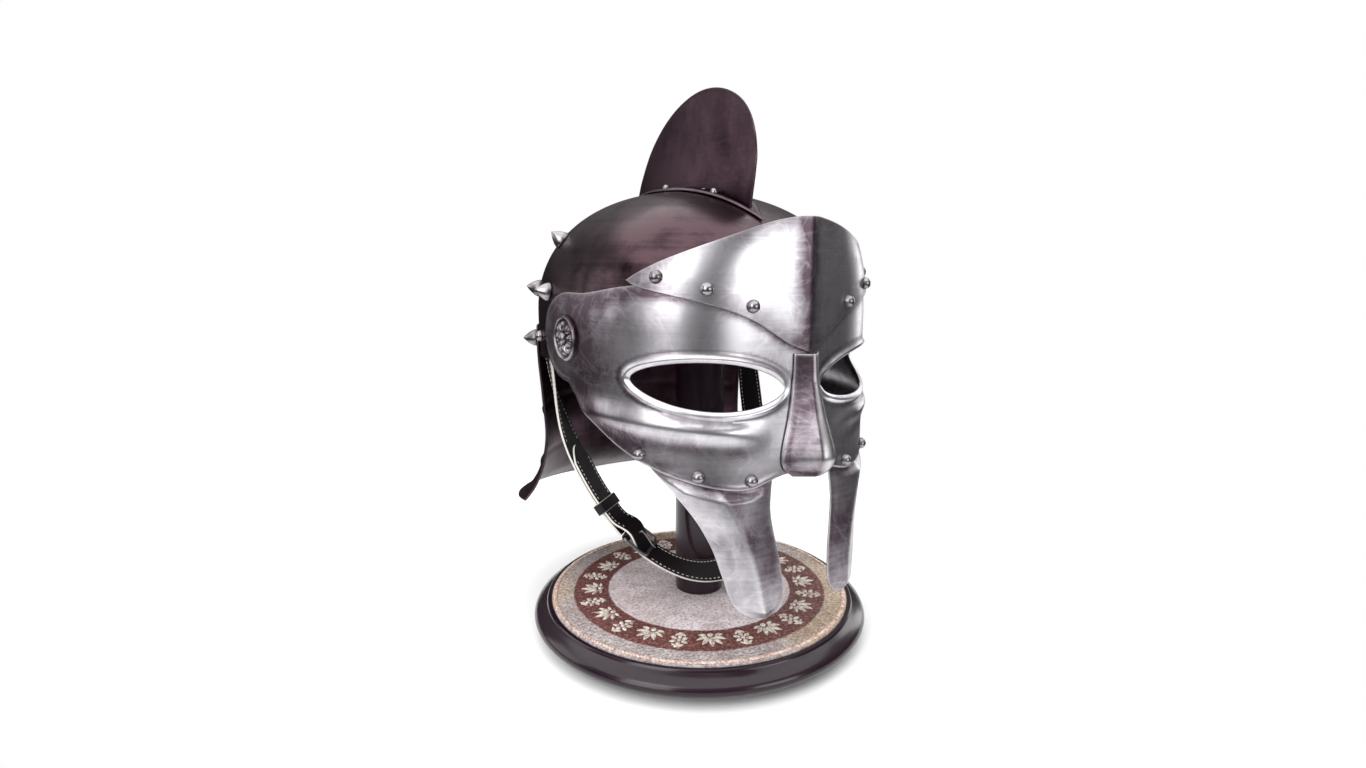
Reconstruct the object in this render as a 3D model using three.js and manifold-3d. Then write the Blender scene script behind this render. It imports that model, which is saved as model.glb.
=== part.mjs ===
// A steel arena helmet on its turned display stand, in millimetres.
// +Z is up, the face looks along -Y, and the origin is the centre of the stand's underside.
// The helmet is riveted from formed plates: bowl, face plate, brow plate, nasal, cheek guards,
// neck guard, crest saddle and fin. A buckled leather chin strap hangs from the bowl in front of the post.
import * as THREE from "three";
import { mergeVertices } from "three/addons/utils/BufferGeometryUtils.js";
import Module from "manifold-3d";

const wasm = await Module();
wasm.setup();

// Driving sizes: thicknesses and clearances
const steel = 1.6;
const bowlSteel = 2.0;
const seatGap = 0.3;
const plateGap = 0.5;
const leather = 2.2;

// Driving sizes: where the helmet sits, and the bowl
const eyeLineZ = 224;
const crownAboveEyes = 134;
const wallTopAboveEyes = 36;
const bowlCentreY = 20;
const bowlHalfWidth = 114;
const bowlFrontReach = 130;
const bowlBackReach = 134;
const domeFullness = 2.2;
const frontFullness = 2.9;
const backFullness = 2.2;
const rimAboveEyesFront = 44;
const rimAboveEyesSide = 8;
const rimAboveEyesBack = 4;

// Driving sizes: the face
const faceClearOfBowl = 9;
const faceBelowEyes = 70;
const faceAboveEyes = 60;
const faceKeel = 5;
const keelAngle = 20;
const chinBelowEyes = 161;
const browAboveEyes = 110;
const eyeHalfHeight = 16;
const eyeInnerAngle = 8;
const eyeOuterAngle = 56;
const eyeTilt = 4;
const lobeRadius = 33;
const bossAngle = 84;
const bossAboveEyes = 25;
const bossRadius = 17;
const bossHeight = 7;
const cheekOverlap = 12;
const browFootAboveEyes = 20;

// Driving sizes: nasal, crest, neck guard and studs
const nasalLength = 84;
const nasalTopWidth = 21;
const nasalFootWidth = 42;
const nasalRise = 20;
const crestHeight = 71;
const crestFrontY = -62;
const crestBackY = 96;
const crestHalfThickness = 8;
const finSheet = 1.2;
const saddleHalfWidth = 25;
const saddleOverhang = 13;
const neckGuardSpan = 65;
const neckGuardDrop = 165;
const neckGuardOverlap = 22;
const neckGuardFlare = 40;
const neckGuardCorner = 18;
const neckGuardRise = 18;
const studRadius = 4.5;
const smallStudRadius = 3.2;
const largeStudRadius = 7;
const largeStudHeight = 11;

// Driving sizes: strap and buckle
const strapWidth = 20;
const strapAngle = 111;
const strapTopAboveEyes = 20;
const strapLowZ = 53;
const strapTurn = 65;
const strapTipLength = 84;
const strapPointLength = 14;
const liftRun = 14;
const strapClearance = 0.4;
const buckleAlong = 0.335;
const buckleLength = 21;
const buckleRod = 1.5;
const foldLeather = 1.2;
const keeperWidth = 9;
const keeperFromBar = 34;
const keeperLeather = 1.4;
const prongRadius = 1.1;
const holeRadius = 1.8;
const holePitch = 12;

// Driving sizes: stand
const plinthRadius = 140;
const plinthHeight = 25;
const plinthFootRadius = 124;
const discRadius = 125;
const discThickness = 3.2;
const discRecess = 2;
const postRadius = 20;
const headRestRadius = 46;
const headRestDepth = 62;

// Heights and reaches that follow from the driving sizes
const wallTopZ = eyeLineZ + wallTopAboveEyes;
const domeRise = crownAboveEyes - wallTopAboveEyes;
const discTopZ = plinthHeight - discRecess + seatGap + discThickness;
const bossZ = eyeLineZ + bossAboveEyes;
const faceStandOff = plateGap + steel;
const faceFrontReach = bowlFrontReach + faceClearOfBowl;

const radians = THREE.MathUtils.degToRad;
const point = (x, y, z) => new THREE.Vector3(x, y, z);

// Smooth curve through a table of rows [at, value], flat beyond both ends
function through(rows, at) {
  const last = rows.length - 1;
  if (at <= rows[0][0]) return rows[0][1];
  if (at >= rows[last][0]) return rows[last][1];
  let i = 0;
  while (rows[i + 1][0] < at) i += 1;
  const slope = (k) => {
    const a = rows[Math.max(k - 1, 0)];
    const b = rows[Math.min(k + 1, last)];
    return (b[1] - a[1]) / (b[0] - a[0]);
  };
  const span = rows[i + 1][0] - rows[i][0];
  const t = (at - rows[i][0]) / span;
  const [t2, t3] = [t * t, t * t * t];
  return (
    (2 * t3 - 3 * t2 + 1) * rows[i][1] +
    (t3 - 2 * t2 + t) * span * slope(i) +
    (3 * t2 - 2 * t3) * rows[i + 1][1] +
    (t3 - t2) * span * slope(i + 1)
  );
}

// One column of a table as rows [first column, that column]
const column = (table, key, name) => table.map((row) => [row[key], row[name]]);

// How far out a point of the plan lies, as a share of a curve whose two halves are rounded by their fullness
function planShare(x, y, halfWidth, frontReach, backReach) {
  const [reach, fullness] = y < 0 ? [frontReach, frontFullness] : [backReach, backFullness];
  return (Math.abs(x / halfWidth) ** fullness + Math.abs(y / reach) ** fullness) ** (1 / fullness);
}

// A point of such a plan curve, angle 0 at the front
function planPoint(angle, halfWidth, frontReach, backReach, z) {
  const turn = radians(angle);
  const [across, along] = [Math.sin(turn), Math.cos(turn)];
  const grow = 1 / planShare(across, -along, 1, 1, 1);
  const reach = along > 0 ? frontReach : backReach;
  return point(halfWidth * across * grow, bowlCentreY - reach * along * grow, z);
}

// Share of the bowl's full plan that is left at height z
function domeScale(z) {
  if (z <= wallTopZ) return 1;
  const rise = Math.min((z - wallTopZ) / domeRise, 1);
  return (1 - rise ** domeFullness) ** (1 / domeFullness);
}

function bowlPoint(angle, z) {
  const scale = domeScale(z);
  return planPoint(angle, bowlHalfWidth * scale, bowlFrontReach * scale, bowlBackReach * scale, z);
}

// Height of the bowl's outside over a point of the floor plan
function bowlHeight(x, y) {
  const share = Math.min(planShare(x, y - bowlCentreY, bowlHalfWidth, bowlFrontReach, bowlBackReach), 1);
  return wallTopZ + domeRise * (1 - share ** domeFullness) ** (1 / domeFullness);
}

// Face surface below the eyes: its width and its reach as shares of the widths at the eye line
const faceSections = [
  { drop: 0, width: 1, reach: 1 },
  { drop: 0.25, width: 0.99, reach: 1.02 },
  { drop: 0.5, width: 0.955, reach: 1.045 },
  { drop: 0.75, width: 0.91, reach: 1.075 },
  { drop: 1, width: 0.87, reach: 1.105 },
];

// A point of the face surface, which hugs the bowl at the temples and stands clear of it in front
function facePoint(angle, z) {
  const drop = (eyeLineZ - z) / chinBelowEyes;
  const scale = domeScale(z);
  const width = through(column(faceSections, "drop", "width"), drop);
  const reach = through(column(faceSections, "drop", "reach"), drop);
  const halfWidth = (bowlHalfWidth * scale + faceStandOff) * width;
  const keel = faceKeel * Math.max(1 - Math.abs(angle) / keelAngle, 0) ** 2;
  return planPoint(angle, halfWidth, faceFrontReach * reach + keel, bowlBackReach * scale + faceStandOff, z);
}

// The outward unit normal of a surface given by angle and height
function normalOf(surface, angle, z) {
  const step = 0.5;
  const across = surface(angle + step, z).sub(surface(angle - step, z));
  const up = surface(angle, z + step).sub(surface(angle, z - step));
  return across.cross(up).normalize();
}

const offsetPoint = (surface, angle, z, offset) =>
  surface(angle, z).add(normalOf(surface, angle, z).multiplyScalar(offset));

// A closed solid from vertices and triangles, turned outside out if need be
function solidOf(vertices, triangles) {
  const loose = new THREE.BufferGeometry();
  loose.setAttribute("position", new THREE.Float32BufferAttribute(vertices.flatMap((v) => v.toArray()), 3));
  loose.setIndex(triangles.flat());
  const merged = mergeVertices(loose, 1e-3);
  const index = Array.from(merged.index.array);
  const kept = [];
  for (let i = 0; i < index.length; i += 3) {
    const [a, b, c] = index.slice(i, i + 3);
    if (a !== b && b !== c && c !== a) kept.push([a, b, c]);
  }
  const at = (i) => new THREE.Vector3().fromBufferAttribute(merged.attributes.position, i);
  const volume = kept.reduce((sum, [a, b, c]) => sum + at(a).dot(at(b).cross(at(c))), 0);
  const facing = volume < 0 ? kept.map(([a, b, c]) => [a, c, b]) : kept;
  return new wasm.Manifold(
    new wasm.Mesh({
      numProp: 3,
      vertProperties: new Float32Array(merged.attributes.position.array),
      triVerts: new Uint32Array(facing.flat()),
    }),
  );
}

// A shell between an outer and an inner grid of points; each grid is a list of columns
function gridShell(outer, inner, closed) {
  const [columns, rows] = [outer.length, outer[0].length];
  const vertices = [...outer.flat(), ...inner.flat()];
  const out = (i, j) => (i % columns) * rows + j;
  const back = (i, j) => columns * rows + out(i, j);
  const triangles = [];
  const quad = (a, b, c, d) => triangles.push([a, b, c], [a, c, d]);
  const spans = closed ? columns : columns - 1;
  for (let i = 0; i < spans; i += 1) {
    for (let j = 0; j < rows - 1; j += 1) {
      quad(out(i, j), out(i + 1, j), out(i + 1, j + 1), out(i, j + 1));
      quad(back(i, j), back(i, j + 1), back(i + 1, j + 1), back(i + 1, j));
    }
    quad(out(i, 0), back(i, 0), back(i + 1, 0), out(i + 1, 0));
    quad(out(i, rows - 1), out(i + 1, rows - 1), back(i + 1, rows - 1), back(i, rows - 1));
  }
  if (!closed) {
    for (let j = 0; j < rows - 1; j += 1) {
      quad(out(0, j), out(0, j + 1), back(0, j + 1), back(0, j));
      quad(out(columns - 1, j), back(columns - 1, j), back(columns - 1, j + 1), out(columns - 1, j + 1));
    }
  }
  return solidOf(vertices, triangles);
}

// Evenly spaced shares from 0 to 1
const shares = (steps) => Array.from({ length: steps + 1 }, (_, i) => i / steps);

// Shares that crowd towards both ends, for plates with rounded ends
const crowded = (steps) => shares(steps).map((s) => (1 - Math.cos(Math.PI * s)) / 2);

// A formed plate: across and up run from 0 to 1, place gives the angle and height there
function formedPlate(surface, place, acrossShares, upShares, offset, thickness) {
  const layer = (depth) =>
    acrossShares.map((s) =>
      upShares.map((t) => {
        const [angle, z] = place(s, t);
        return offsetPoint(surface, angle, z, depth);
      }),
    );
  return gridShell(layer(offset), layer(offset - thickness), false);
}

// A solid that cuts a plate along an outline of [angle, height] pairs, out of the helmet's middle
function radialCutter(outline) {
  const [nearRadius, farRadius] = [40, 260];
  const at = (radius) => outline.map(([angle, z]) => planPoint(angle, radius, radius, radius, z));
  const flat = outline.map(([angle, z]) => new THREE.Vector2(angle, z));
  const caps = THREE.ShapeUtils.triangulateShape(flat, []);
  const count = outline.length;
  const triangles = caps.map(([a, b, c]) => [a, b, c]);
  caps.forEach(([a, b, c]) => triangles.push([a + count, c + count, b + count]));
  const turn = Math.sign(THREE.ShapeUtils.area(flat));
  for (let i = 0; i < count; i += 1) {
    const j = (i + 1) % count;
    const side = [
      [i, i + count, j + count],
      [i, j + count, j],
    ];
    side.forEach(([a, b, c]) => triangles.push(turn > 0 ? [a, b, c] : [a, c, b]));
  }
  return solidOf([...at(nearRadius), ...at(farRadius)], triangles);
}

// Bowl
const rimHeights = [
  { angle: 0, above: rimAboveEyesFront },
  { angle: 45, above: rimAboveEyesFront },
  { angle: 88, above: rimAboveEyesSide },
  { angle: 135, above: rimAboveEyesBack },
  { angle: 180, above: rimAboveEyesBack },
];

const rimZ = (angle) => eyeLineZ + through(column(rimHeights, "angle", "above"), Math.abs(angle));

function makeBowl() {
  const columns = 48;
  const wallRows = 2;
  const domeRows = 8;
  const wall = (angle, offset) =>
    shares(wallRows)
      .slice(0, wallRows)
      .map((t) => bowlPointAt(angle, rimZ(angle) + t * Math.max(wallTopZ - rimZ(angle), 0), offset));
  const dome = (angle, offset) =>
    shares(domeRows).map((t) => {
      const lift = radians(90 * t);
      const start = Math.max(rimZ(angle), wallTopZ);
      const z = start + (wallTopZ + domeRise - start) * Math.sin(lift) ** (2 / domeFullness);
      return bowlPointAt(angle, z, offset);
    });
  const layer = (offset) =>
    shares(columns)
      .slice(0, columns)
      .map((s) => {
        const angle = 360 * s - 180;
        return [...wall(angle, offset), ...dome(angle, offset)];
      });
  return gridShell(layer(0), layer(-bowlSteel), true);
}

// A point of the bowl moved in or out, by a smaller or larger bowl of the same shape
function bowlPointAt(angle, z, offset) {
  const crown = wallTopZ + domeRise;
  const rise = Math.min(Math.max((z - wallTopZ) / domeRise, 0), 1);
  const scale = (1 - rise ** domeFullness) ** (1 / domeFullness);
  const height = z > wallTopZ ? wallTopZ + rise * (crown + offset - wallTopZ) : z;
  const grown = (size) => (size + offset) * scale;
  return planPoint(angle, grown(bowlHalfWidth), grown(bowlFrontReach), grown(bowlBackReach), height);
}

// Face plate edges, as shares of how far the plate reaches below and above the eye line
const facePlateEdges = [
  { angle: 0, low: 0.885, high: 0.67 },
  { angle: 10, low: 0.9, high: 0.74 },
  { angle: 24, low: 1, high: 1 },
  { angle: 40, low: 0.915, high: 1.13 },
  { angle: 58, low: 0.7, high: 1.08 },
  { angle: 74, low: 0.385, high: 0.98 },
  {
    angle: bossAngle,
    low: (lobeRadius - bossAboveEyes) / faceBelowEyes,
    high: (lobeRadius + bossAboveEyes) / faceAboveEyes,
  },
];

const lobeEndAngle = bossAngle + THREE.MathUtils.radToDeg(lobeRadius / bowlHalfWidth);

// Lower and upper edge heights of the face plate; behind the boss the plate ends in a round lobe
function facePlateEdge(angle, name) {
  const turn = Math.abs(angle);
  const reach = name === "low" ? -faceBelowEyes : faceAboveEyes;
  if (turn <= bossAngle) return eyeLineZ + reach * through(column(facePlateEdges, "angle", name), turn);
  const along = Math.min((turn - bossAngle) / (lobeEndAngle - bossAngle), 1);
  const half = lobeRadius * Math.sqrt(1 - along * along);
  return bossZ + (name === "low" ? -half : half);
}

// Outline of one eye opening, an almond whose outer corner is a little higher
function eyeOutline(side) {
  const middle = (eyeInnerAngle + eyeOuterAngle) / 2;
  const reach = (eyeOuterAngle - eyeInnerAngle) / 2;
  const roundness = 1.25;
  return shares(28)
    .slice(0, 28)
    .map((s) => {
      const turn = 2 * Math.PI * s;
      const bulge = Math.sign(Math.sin(turn)) * Math.abs(Math.sin(turn)) ** roundness;
      const tilt = eyeTilt * Math.cos(turn);
      return [side * (middle + reach * Math.cos(turn)), eyeLineZ + eyeHalfHeight * bulge + tilt];
    });
}

function makeFacePlate() {
  const place = (s, t) => {
    const angle = lobeEndAngle * (2 * s - 1);
    const low = facePlateEdge(angle, "low");
    return [angle, low + t * (facePlateEdge(angle, "high") - low)];
  };
  const plate = formedPlate(facePoint, place, crowdedEnds(42), shares(5), 0, steel);
  return plate.subtract(radialCutter(eyeOutline(1))).subtract(radialCutter(eyeOutline(-1)));
}

// Even shares with a few extra ones near both ends, where the lobes are round
const crowdedEnds = (steps) => {
  const ends = [0.004, 0.015, 0.033, 0.058];
  const middle = shares(steps - 2 * ends.length).map((s) => 0.09 + 0.82 * s);
  return [0, ...ends, ...middle, ...ends.map((s) => 1 - s).reverse(), 1];
};

// Brow plate: lower and upper edge as shares of its height over the eye line
const browPlateEdges = [
  { angle: 0, low: browFootAboveEyes / browAboveEyes, high: 1 },
  { angle: 7, low: 0.235, high: 0.995 },
  { angle: 20, low: 0.385, high: 0.955 },
  { angle: 34, low: 0.49, high: 0.865 },
  { angle: 48, low: 0.555, high: 0.745 },
  { angle: 55, low: 0.59, high: 0.665 },
  { angle: 58, low: 0.62, high: 0.62 },
];

const browEndAngle = browPlateEdges[browPlateEdges.length - 1].angle;
const browEdge = (angle, name) =>
  eyeLineZ + browAboveEyes * through(column(browPlateEdges, "angle", name), Math.abs(angle));

function makeBrowPlate() {
  const place = (s, t) => {
    const angle = browEndAngle * (2 * s - 1);
    const low = browEdge(angle, "low");
    return [angle, low + t * (browEdge(angle, "high") - low)];
  };
  return formedPlate(facePoint, place, crowded(34), shares(5), plateGap + steel, steel);
}

// Nasal: a ridged bar over the middle of the face plate
const nasalSections = [
  { down: 0, width: 0, rise: 0.3 },
  { down: 0.2, width: 0.05, rise: 0.38 },
  { down: 0.5, width: 0.4, rise: 0.66 },
  { down: 0.82, width: 1, rise: 1 },
  { down: 0.93, width: 0.9, rise: 0.8 },
  { down: 1, width: 0.3, rise: 0.42 },
];

const nasalTopZ = eyeLineZ + browFootAboveEyes - plateGap;

function nasalPoint(s, t, offset) {
  const side = 2 * s - 1;
  const z = nasalTopZ - t * nasalLength;
  const widen = through(column(nasalSections, "down", "width"), t);
  const rise = nasalRise * through(column(nasalSections, "down", "rise"), t);
  const halfWidth = (nasalTopWidth + widen * (nasalFootWidth - nasalTopWidth)) / 2;
  const angle = THREE.MathUtils.radToDeg(Math.asin((side * halfWidth) / bowlHalfWidth));
  const ridge = rise * (1 - Math.abs(side) ** 1.3);
  return offsetPoint(facePoint, angle, z, offset + ridge);
}

function makeNasal() {
  const layer = (offset) => shares(8).map((s) => shares(9).map((t) => nasalPoint(s, t, offset)));
  return gridShell(layer(plateGap + steel), layer(plateGap), false);
}

// Cheek guards: front and rear edge as angles, up from the chin to the overlap with the face plate
const cheekSections = [
  { up: 0, front: 20, rear: 22 },
  { up: 0.03, front: 15.5, rear: 27.5 },
  { up: 0.11, front: 12.5, rear: 32 },
  { up: 0.3, front: 12.5, rear: 34.5 },
  { up: 0.5, front: 14, rear: 37 },
  { up: 0.68, front: 15, rear: 41.5 },
  { up: 0.84, front: 14, rear: 49 },
  { up: 1, front: 12, rear: 60 },
];

function makeCheekGuard(side) {
  const chinZ = eyeLineZ - chinBelowEyes;
  const place = (s, t) => {
    const front = through(column(cheekSections, "up", "front"), t);
    const rear = through(column(cheekSections, "up", "rear"), t);
    const angle = front + s * (rear - front);
    const top = facePlateEdge(angle, "low") + cheekOverlap;
    return [side * angle, chinZ + t * (top - chinZ)];
  };
  const rows = [0, 0.012, 0.04, 0.1, 0.2, 0.34, 0.5, 0.66, 0.84, 1];
  return formedPlate(facePoint, place, shares(6), rows, -steel - plateGap, steel);
}

// Neck guard: how far it stands off the bowl, down from its top edge, as shares of its flare
const neckSections = [
  { down: 0, off: 0 },
  { down: 0.14, off: 0 },
  { down: 0.35, off: -0.06 },
  { down: 0.6, off: -0.1 },
  { down: 0.78, off: 0.08 },
  { down: 0.9, off: 0.42 },
  { down: 1, off: 1 },
];

const neckTopZ = eyeLineZ + rimAboveEyesBack + neckGuardOverlap;

function neckPoint(angle, z) {
  const down = (neckTopZ - z) / neckGuardDrop;
  const off = faceStandOff + neckGuardFlare * through(column(neckSections, "down", "off"), down);
  return planPoint(angle, bowlHalfWidth + off, bowlFrontReach + off, bowlBackReach + off, z);
}

function makeNeckGuard() {
  const place = (s, t) => {
    const across = 2 * s - 1;
    const angle = 180 + across * neckGuardSpan;
    const inset = radians(neckGuardSpan * (1 - Math.abs(across))) * bowlHalfWidth;
    const round = Math.max(neckGuardCorner - inset, 0);
    const top = neckTopZ - neckGuardCorner + Math.sqrt(neckGuardCorner ** 2 - round ** 2);
    const bottom = neckTopZ - neckGuardDrop + neckGuardRise * across ** 2;
    return [angle, bottom + t * (top - bottom)];
  };
  const rows = [0, 0.07, 0.16, 0.3, 0.5, 0.72, 0.865, 1];
  return formedPlate(neckPoint, place, crowded(20), rows, 0, steel);
}

// Crest saddle and fin, both standing on the crown
const crestMiddleY = (crestFrontY + crestBackY) / 2;
const crestHalfLength = (crestBackY - crestFrontY) / 2;

function crownPoint(x, y, offset) {
  const step = 0.5;
  const slope = point(
    bowlHeight(x - step, y) - bowlHeight(x + step, y),
    bowlHeight(x, y - step) - bowlHeight(x, y + step),
    2 * step,
  ).normalize();
  return point(x, y, bowlHeight(x, y)).add(slope.multiplyScalar(offset));
}

function makeSaddle() {
  const halfLength = crestHalfLength + saddleOverhang;
  const layer = (offset) =>
    crowded(14).map((s) => {
      const along = 2 * s - 1;
      const halfWidth = saddleHalfWidth * (1 - along ** 2);
      return shares(4).map((t) =>
        crownPoint(halfWidth * (2 * t - 1), crestMiddleY + along * halfLength, offset),
      );
    });
  return gridShell(layer(plateGap + steel), layer(plateGap), false);
}

// Fin outline: rises over the saddle as a share of the crest height, with a rounded front
const finSections = [
  { along: 0, height: 0, lean: 0, thick: 0.12 },
  { along: 0.04, height: 0.46, lean: -0.075, thick: 0.35 },
  { along: 0.12, height: 0.79, lean: -0.105, thick: 0.6 },
  { along: 0.25, height: 0.97, lean: -0.085, thick: 0.85 },
  { along: 0.42, height: 1, lean: -0.04, thick: 1 },
  { along: 0.6, height: 0.87, lean: 0, thick: 0.95 },
  { along: 0.78, height: 0.61, lean: 0.02, thick: 0.75 },
  { along: 0.92, height: 0.28, lean: 0.015, thick: 0.4 },
  { along: 1, height: 0, lean: 0, thick: 0.12 },
];

const finFoot = plateGap + steel + plateGap;

function finPoint(s, t, side, wall) {
  const y = crestFrontY + s * (crestBackY - crestFrontY);
  const height = crestHeight * through(column(finSections, "along", "height"), s);
  const lean = through(column(finSections, "along", "lean"), s) * (crestBackY - crestFrontY);
  const thick = crestHalfThickness * through(column(finSections, "along", "thick"), s);
  const edge = 0.9;
  const half = edge + Math.max(thick - edge, 0) * Math.min(1 - t, 1) ** 1.4;
  return point(side * (half - wall), y + lean * t, bowlHeight(0, y) + finFoot + (height + 1) * t);
}

// The fin is a hollow wedge, open at its foot where it stands on the saddle
function makeFin() {
  const layer = (side) => crowded(22).map((s) => shares(5).map((t) => finPoint(s, t, side, 0)));
  const hollow = (side) =>
    shares(8).map((s) => [-0.15, 0.2, 0.52].map((t) => finPoint(0.13 + 0.72 * s, t, side, finSheet)));
  return gridShell(layer(1), layer(-1), false).subtract(gridShell(hollow(1), hollow(-1), false));
}

// Studs and temple bosses: turned pieces that are placed on a surface, looking out along its normal
function turned(profile, segments) {
  const geometry = new THREE.LatheGeometry(
    profile.map(([r, h]) => new THREE.Vector2(r, h)),
    segments,
  );
  geometry.rotateX(Math.PI / 2);
  geometry.deleteAttribute("normal");
  geometry.deleteAttribute("uv");
  const merged = mergeVertices(geometry, 1e-3);
  const index = Array.from(merged.index.array);
  const vertices = Array.from({ length: merged.attributes.position.count }, (_, i) =>
    new THREE.Vector3().fromBufferAttribute(merged.attributes.position, i),
  );
  const triangles = [];
  for (let i = 0; i < index.length; i += 3) triangles.push(index.slice(i, i + 3));
  return solidOf(vertices, triangles);
}

const studProfile = (radius) => [
  [0, 0],
  [radius, 0],
  [0.78 * radius, 0.62 * radius],
  [0, radius],
];

const largeStudProfile = [
  [0, 0],
  [largeStudRadius, 0],
  [0.86 * largeStudRadius, 0.32 * largeStudHeight],
  [0.36 * largeStudRadius, 0.88 * largeStudHeight],
  [0, largeStudHeight],
];

const bossProfile = [
  [0, 0],
  [bossRadius, 0],
  [bossRadius, 0.34 * bossHeight],
  [0.9 * bossRadius, 0.52 * bossHeight],
  [0.78 * bossRadius, 0.36 * bossHeight],
  [0.5 * bossRadius, 0.6 * bossHeight],
  [0.3 * bossRadius, 0.72 * bossHeight],
  [0.18 * bossRadius, bossHeight],
  [0, bossHeight],
];

function geometryOf(solid) {
  const mesh = solid.getMesh();
  const geometry = new THREE.BufferGeometry();
  geometry.setAttribute("position", new THREE.BufferAttribute(new Float32Array(mesh.vertProperties), 3));
  geometry.setIndex(new THREE.BufferAttribute(new Uint32Array(mesh.triVerts), 1));
  geometry.computeVertexNormals();
  return geometry;
}

// Chin strap: half its route as shares of the way from the low point in front of the post to the bowl
const strapRoute = [
  { across: 1, back: 1, up: 1 },
  { across: 0.99, back: 0.98, up: 0.9 },
  { across: 0.96, back: 0.89, up: 0.71 },
  { across: 0.89, back: 0.72, up: 0.5 },
  { across: 0.75, back: 0.5, up: 0.29 },
  { across: 0.53, back: 0.25, up: 0.115 },
  { across: 0.27, back: 0.05, up: 0.025 },
];

const strapOffWall = bowlSteel + seatGap + leather / 2 + strapWidth ** 2 / (8 * bowlHalfWidth);
const strapTop = bowlPointAt(-strapAngle, eyeLineZ + strapTopAboveEyes, -strapOffWall);
const strapLowY = -(postRadius + seatGap + strapWidth / 2);
const onRoute = (side, row) =>
  point(
    side * strapTop.x * row.across,
    strapLowY + row.back * (strapTop.y - strapLowY),
    strapLowZ + row.up * (strapTop.z - strapLowZ),
  );
const route = new THREE.CatmullRomCurve3(
  [
    ...strapRoute.map((row) => onRoute(1, row)),
    point(0, strapLowY, strapLowZ),
    ...strapRoute.map((row) => onRoute(-1, row)).reverse(),
  ],
  false,
  "centripetal",
);
const routeLength = route.getLength();

// The strap's frame at a distance along it: down the strap, across its width, and out of its face.
// Its ends lie flat on the bowl, and between them it has turned by strapTurn so that its face looks forward.
const loopNormal = point(0, strapLowZ - strapTop.z, strapTop.y - strapLowY).normalize();

function strapFrame(distance) {
  const at = THREE.MathUtils.clamp(distance / routeLength, 0, 1);
  const along = route.getTangentAt(at);
  const side = at < 0.5 ? -1 : 1;
  const turn = radians(strapTurn);
  const [ahead, behind] = [-1, 1].map((by) => bowlPoint(side * (strapAngle + by), wallTopZ));
  const flat = behind.sub(ahead).normalize();
  const outward = along.clone().cross(loopNormal);
  const turned = outward.multiplyScalar(-Math.sin(turn)).addScaledVector(loopNormal, -Math.cos(turn));
  const width = flat.lerp(turned, THREE.MathUtils.smoothstep(Math.min(at, 1 - at), 0.04, 0.2));
  const across = width.addScaledVector(along, -width.dot(along)).normalize();
  const out = along.clone().cross(across).normalize();
  return { at: route.getPointAt(at), along, across, out };
}

function onStrap(distance, across, out) {
  const frame = strapFrame(distance);
  return frame.at.addScaledVector(frame.across, across).addScaledVector(frame.out, out);
}

// A length of strap as a grid of sections, with its height off the route and its half width given along it
function strapSolid(distances, liftAt, halfWidthAt, thickness) {
  const layer = (depth) =>
    distances.map((d) => [-1, 1].map((side) => onStrap(d, side * halfWidthAt(d), liftAt(d) + depth)));
  return gridShell(layer(thickness / 2), layer(-thickness / 2), false);
}

const stepsBetween = (from, to, steps) => shares(steps).map((s) => from + s * (to - from));

// The buckle lies straight along the chord from its bar to its far side
function buckleOnStrap() {
  const bar = strapFrame(barDistance);
  const along = strapFrame(farEdge).at.sub(bar.at).normalize();
  const across = bar.across.addScaledVector(along, -bar.across.dot(along)).normalize();
  return { at: bar.at, along, across, out: along.clone().cross(across) };
}

// A straight local block placed in a frame on the strap: columns are along, across and out
function placedOn(frame, geometry, out) {
  const matrix = new THREE.Matrix4().makeBasis(frame.along, frame.across, frame.out);
  const origin = frame.at.addScaledVector(frame.out, out);
  matrix.setPosition(origin);
  const plain = geometry.clone();
  plain.deleteAttribute("normal");
  plain.deleteAttribute("uv");
  plain.applyMatrix4(matrix);
  const merged = mergeVertices(plain, 1e-3);
  const vertices = Array.from({ length: merged.attributes.position.count }, (_, i) =>
    new THREE.Vector3().fromBufferAttribute(merged.attributes.position, i),
  );
  const index = Array.from(merged.index ? merged.index.array : vertices.keys());
  const triangles = [];
  for (let i = 0; i < index.length; i += 3) triangles.push(index.slice(i, i + 3));
  return solidOf(vertices, triangles);
}

const barDistance = buckleAlong * routeLength;
const barOut = 2.2;
const barHalfDepth = 0.85 * buckleRod;
const barSleeve = Math.hypot(buckleRod, barHalfDepth) + seatGap;
const frameHalfWidth = strapWidth / 2 + 0.8 + 2 * buckleRod;
const tipLiftOverBar = barOut + barSleeve + foldLeather + seatGap + leather / 2;
const tipLiftOverStrap = leather + seatGap;
const farEdge = barDistance + buckleLength;

// The strap end with the tip passes under the buckle's far side, over its bar and up along the other end
const tipLift = (distance) =>
  through(
    [
      [barDistance - 1.85 * liftRun, tipLiftOverStrap],
      [barDistance - liftRun, tipLiftOverStrap + strapClearance],
      [barDistance - 0.3 * liftRun, tipLiftOverBar],
      [barDistance + 0.2 * liftRun, tipLiftOverBar],
      [farEdge - 0.36 * liftRun, strapClearance],
      [farEdge, 0],
    ],
    distance,
  );

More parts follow.
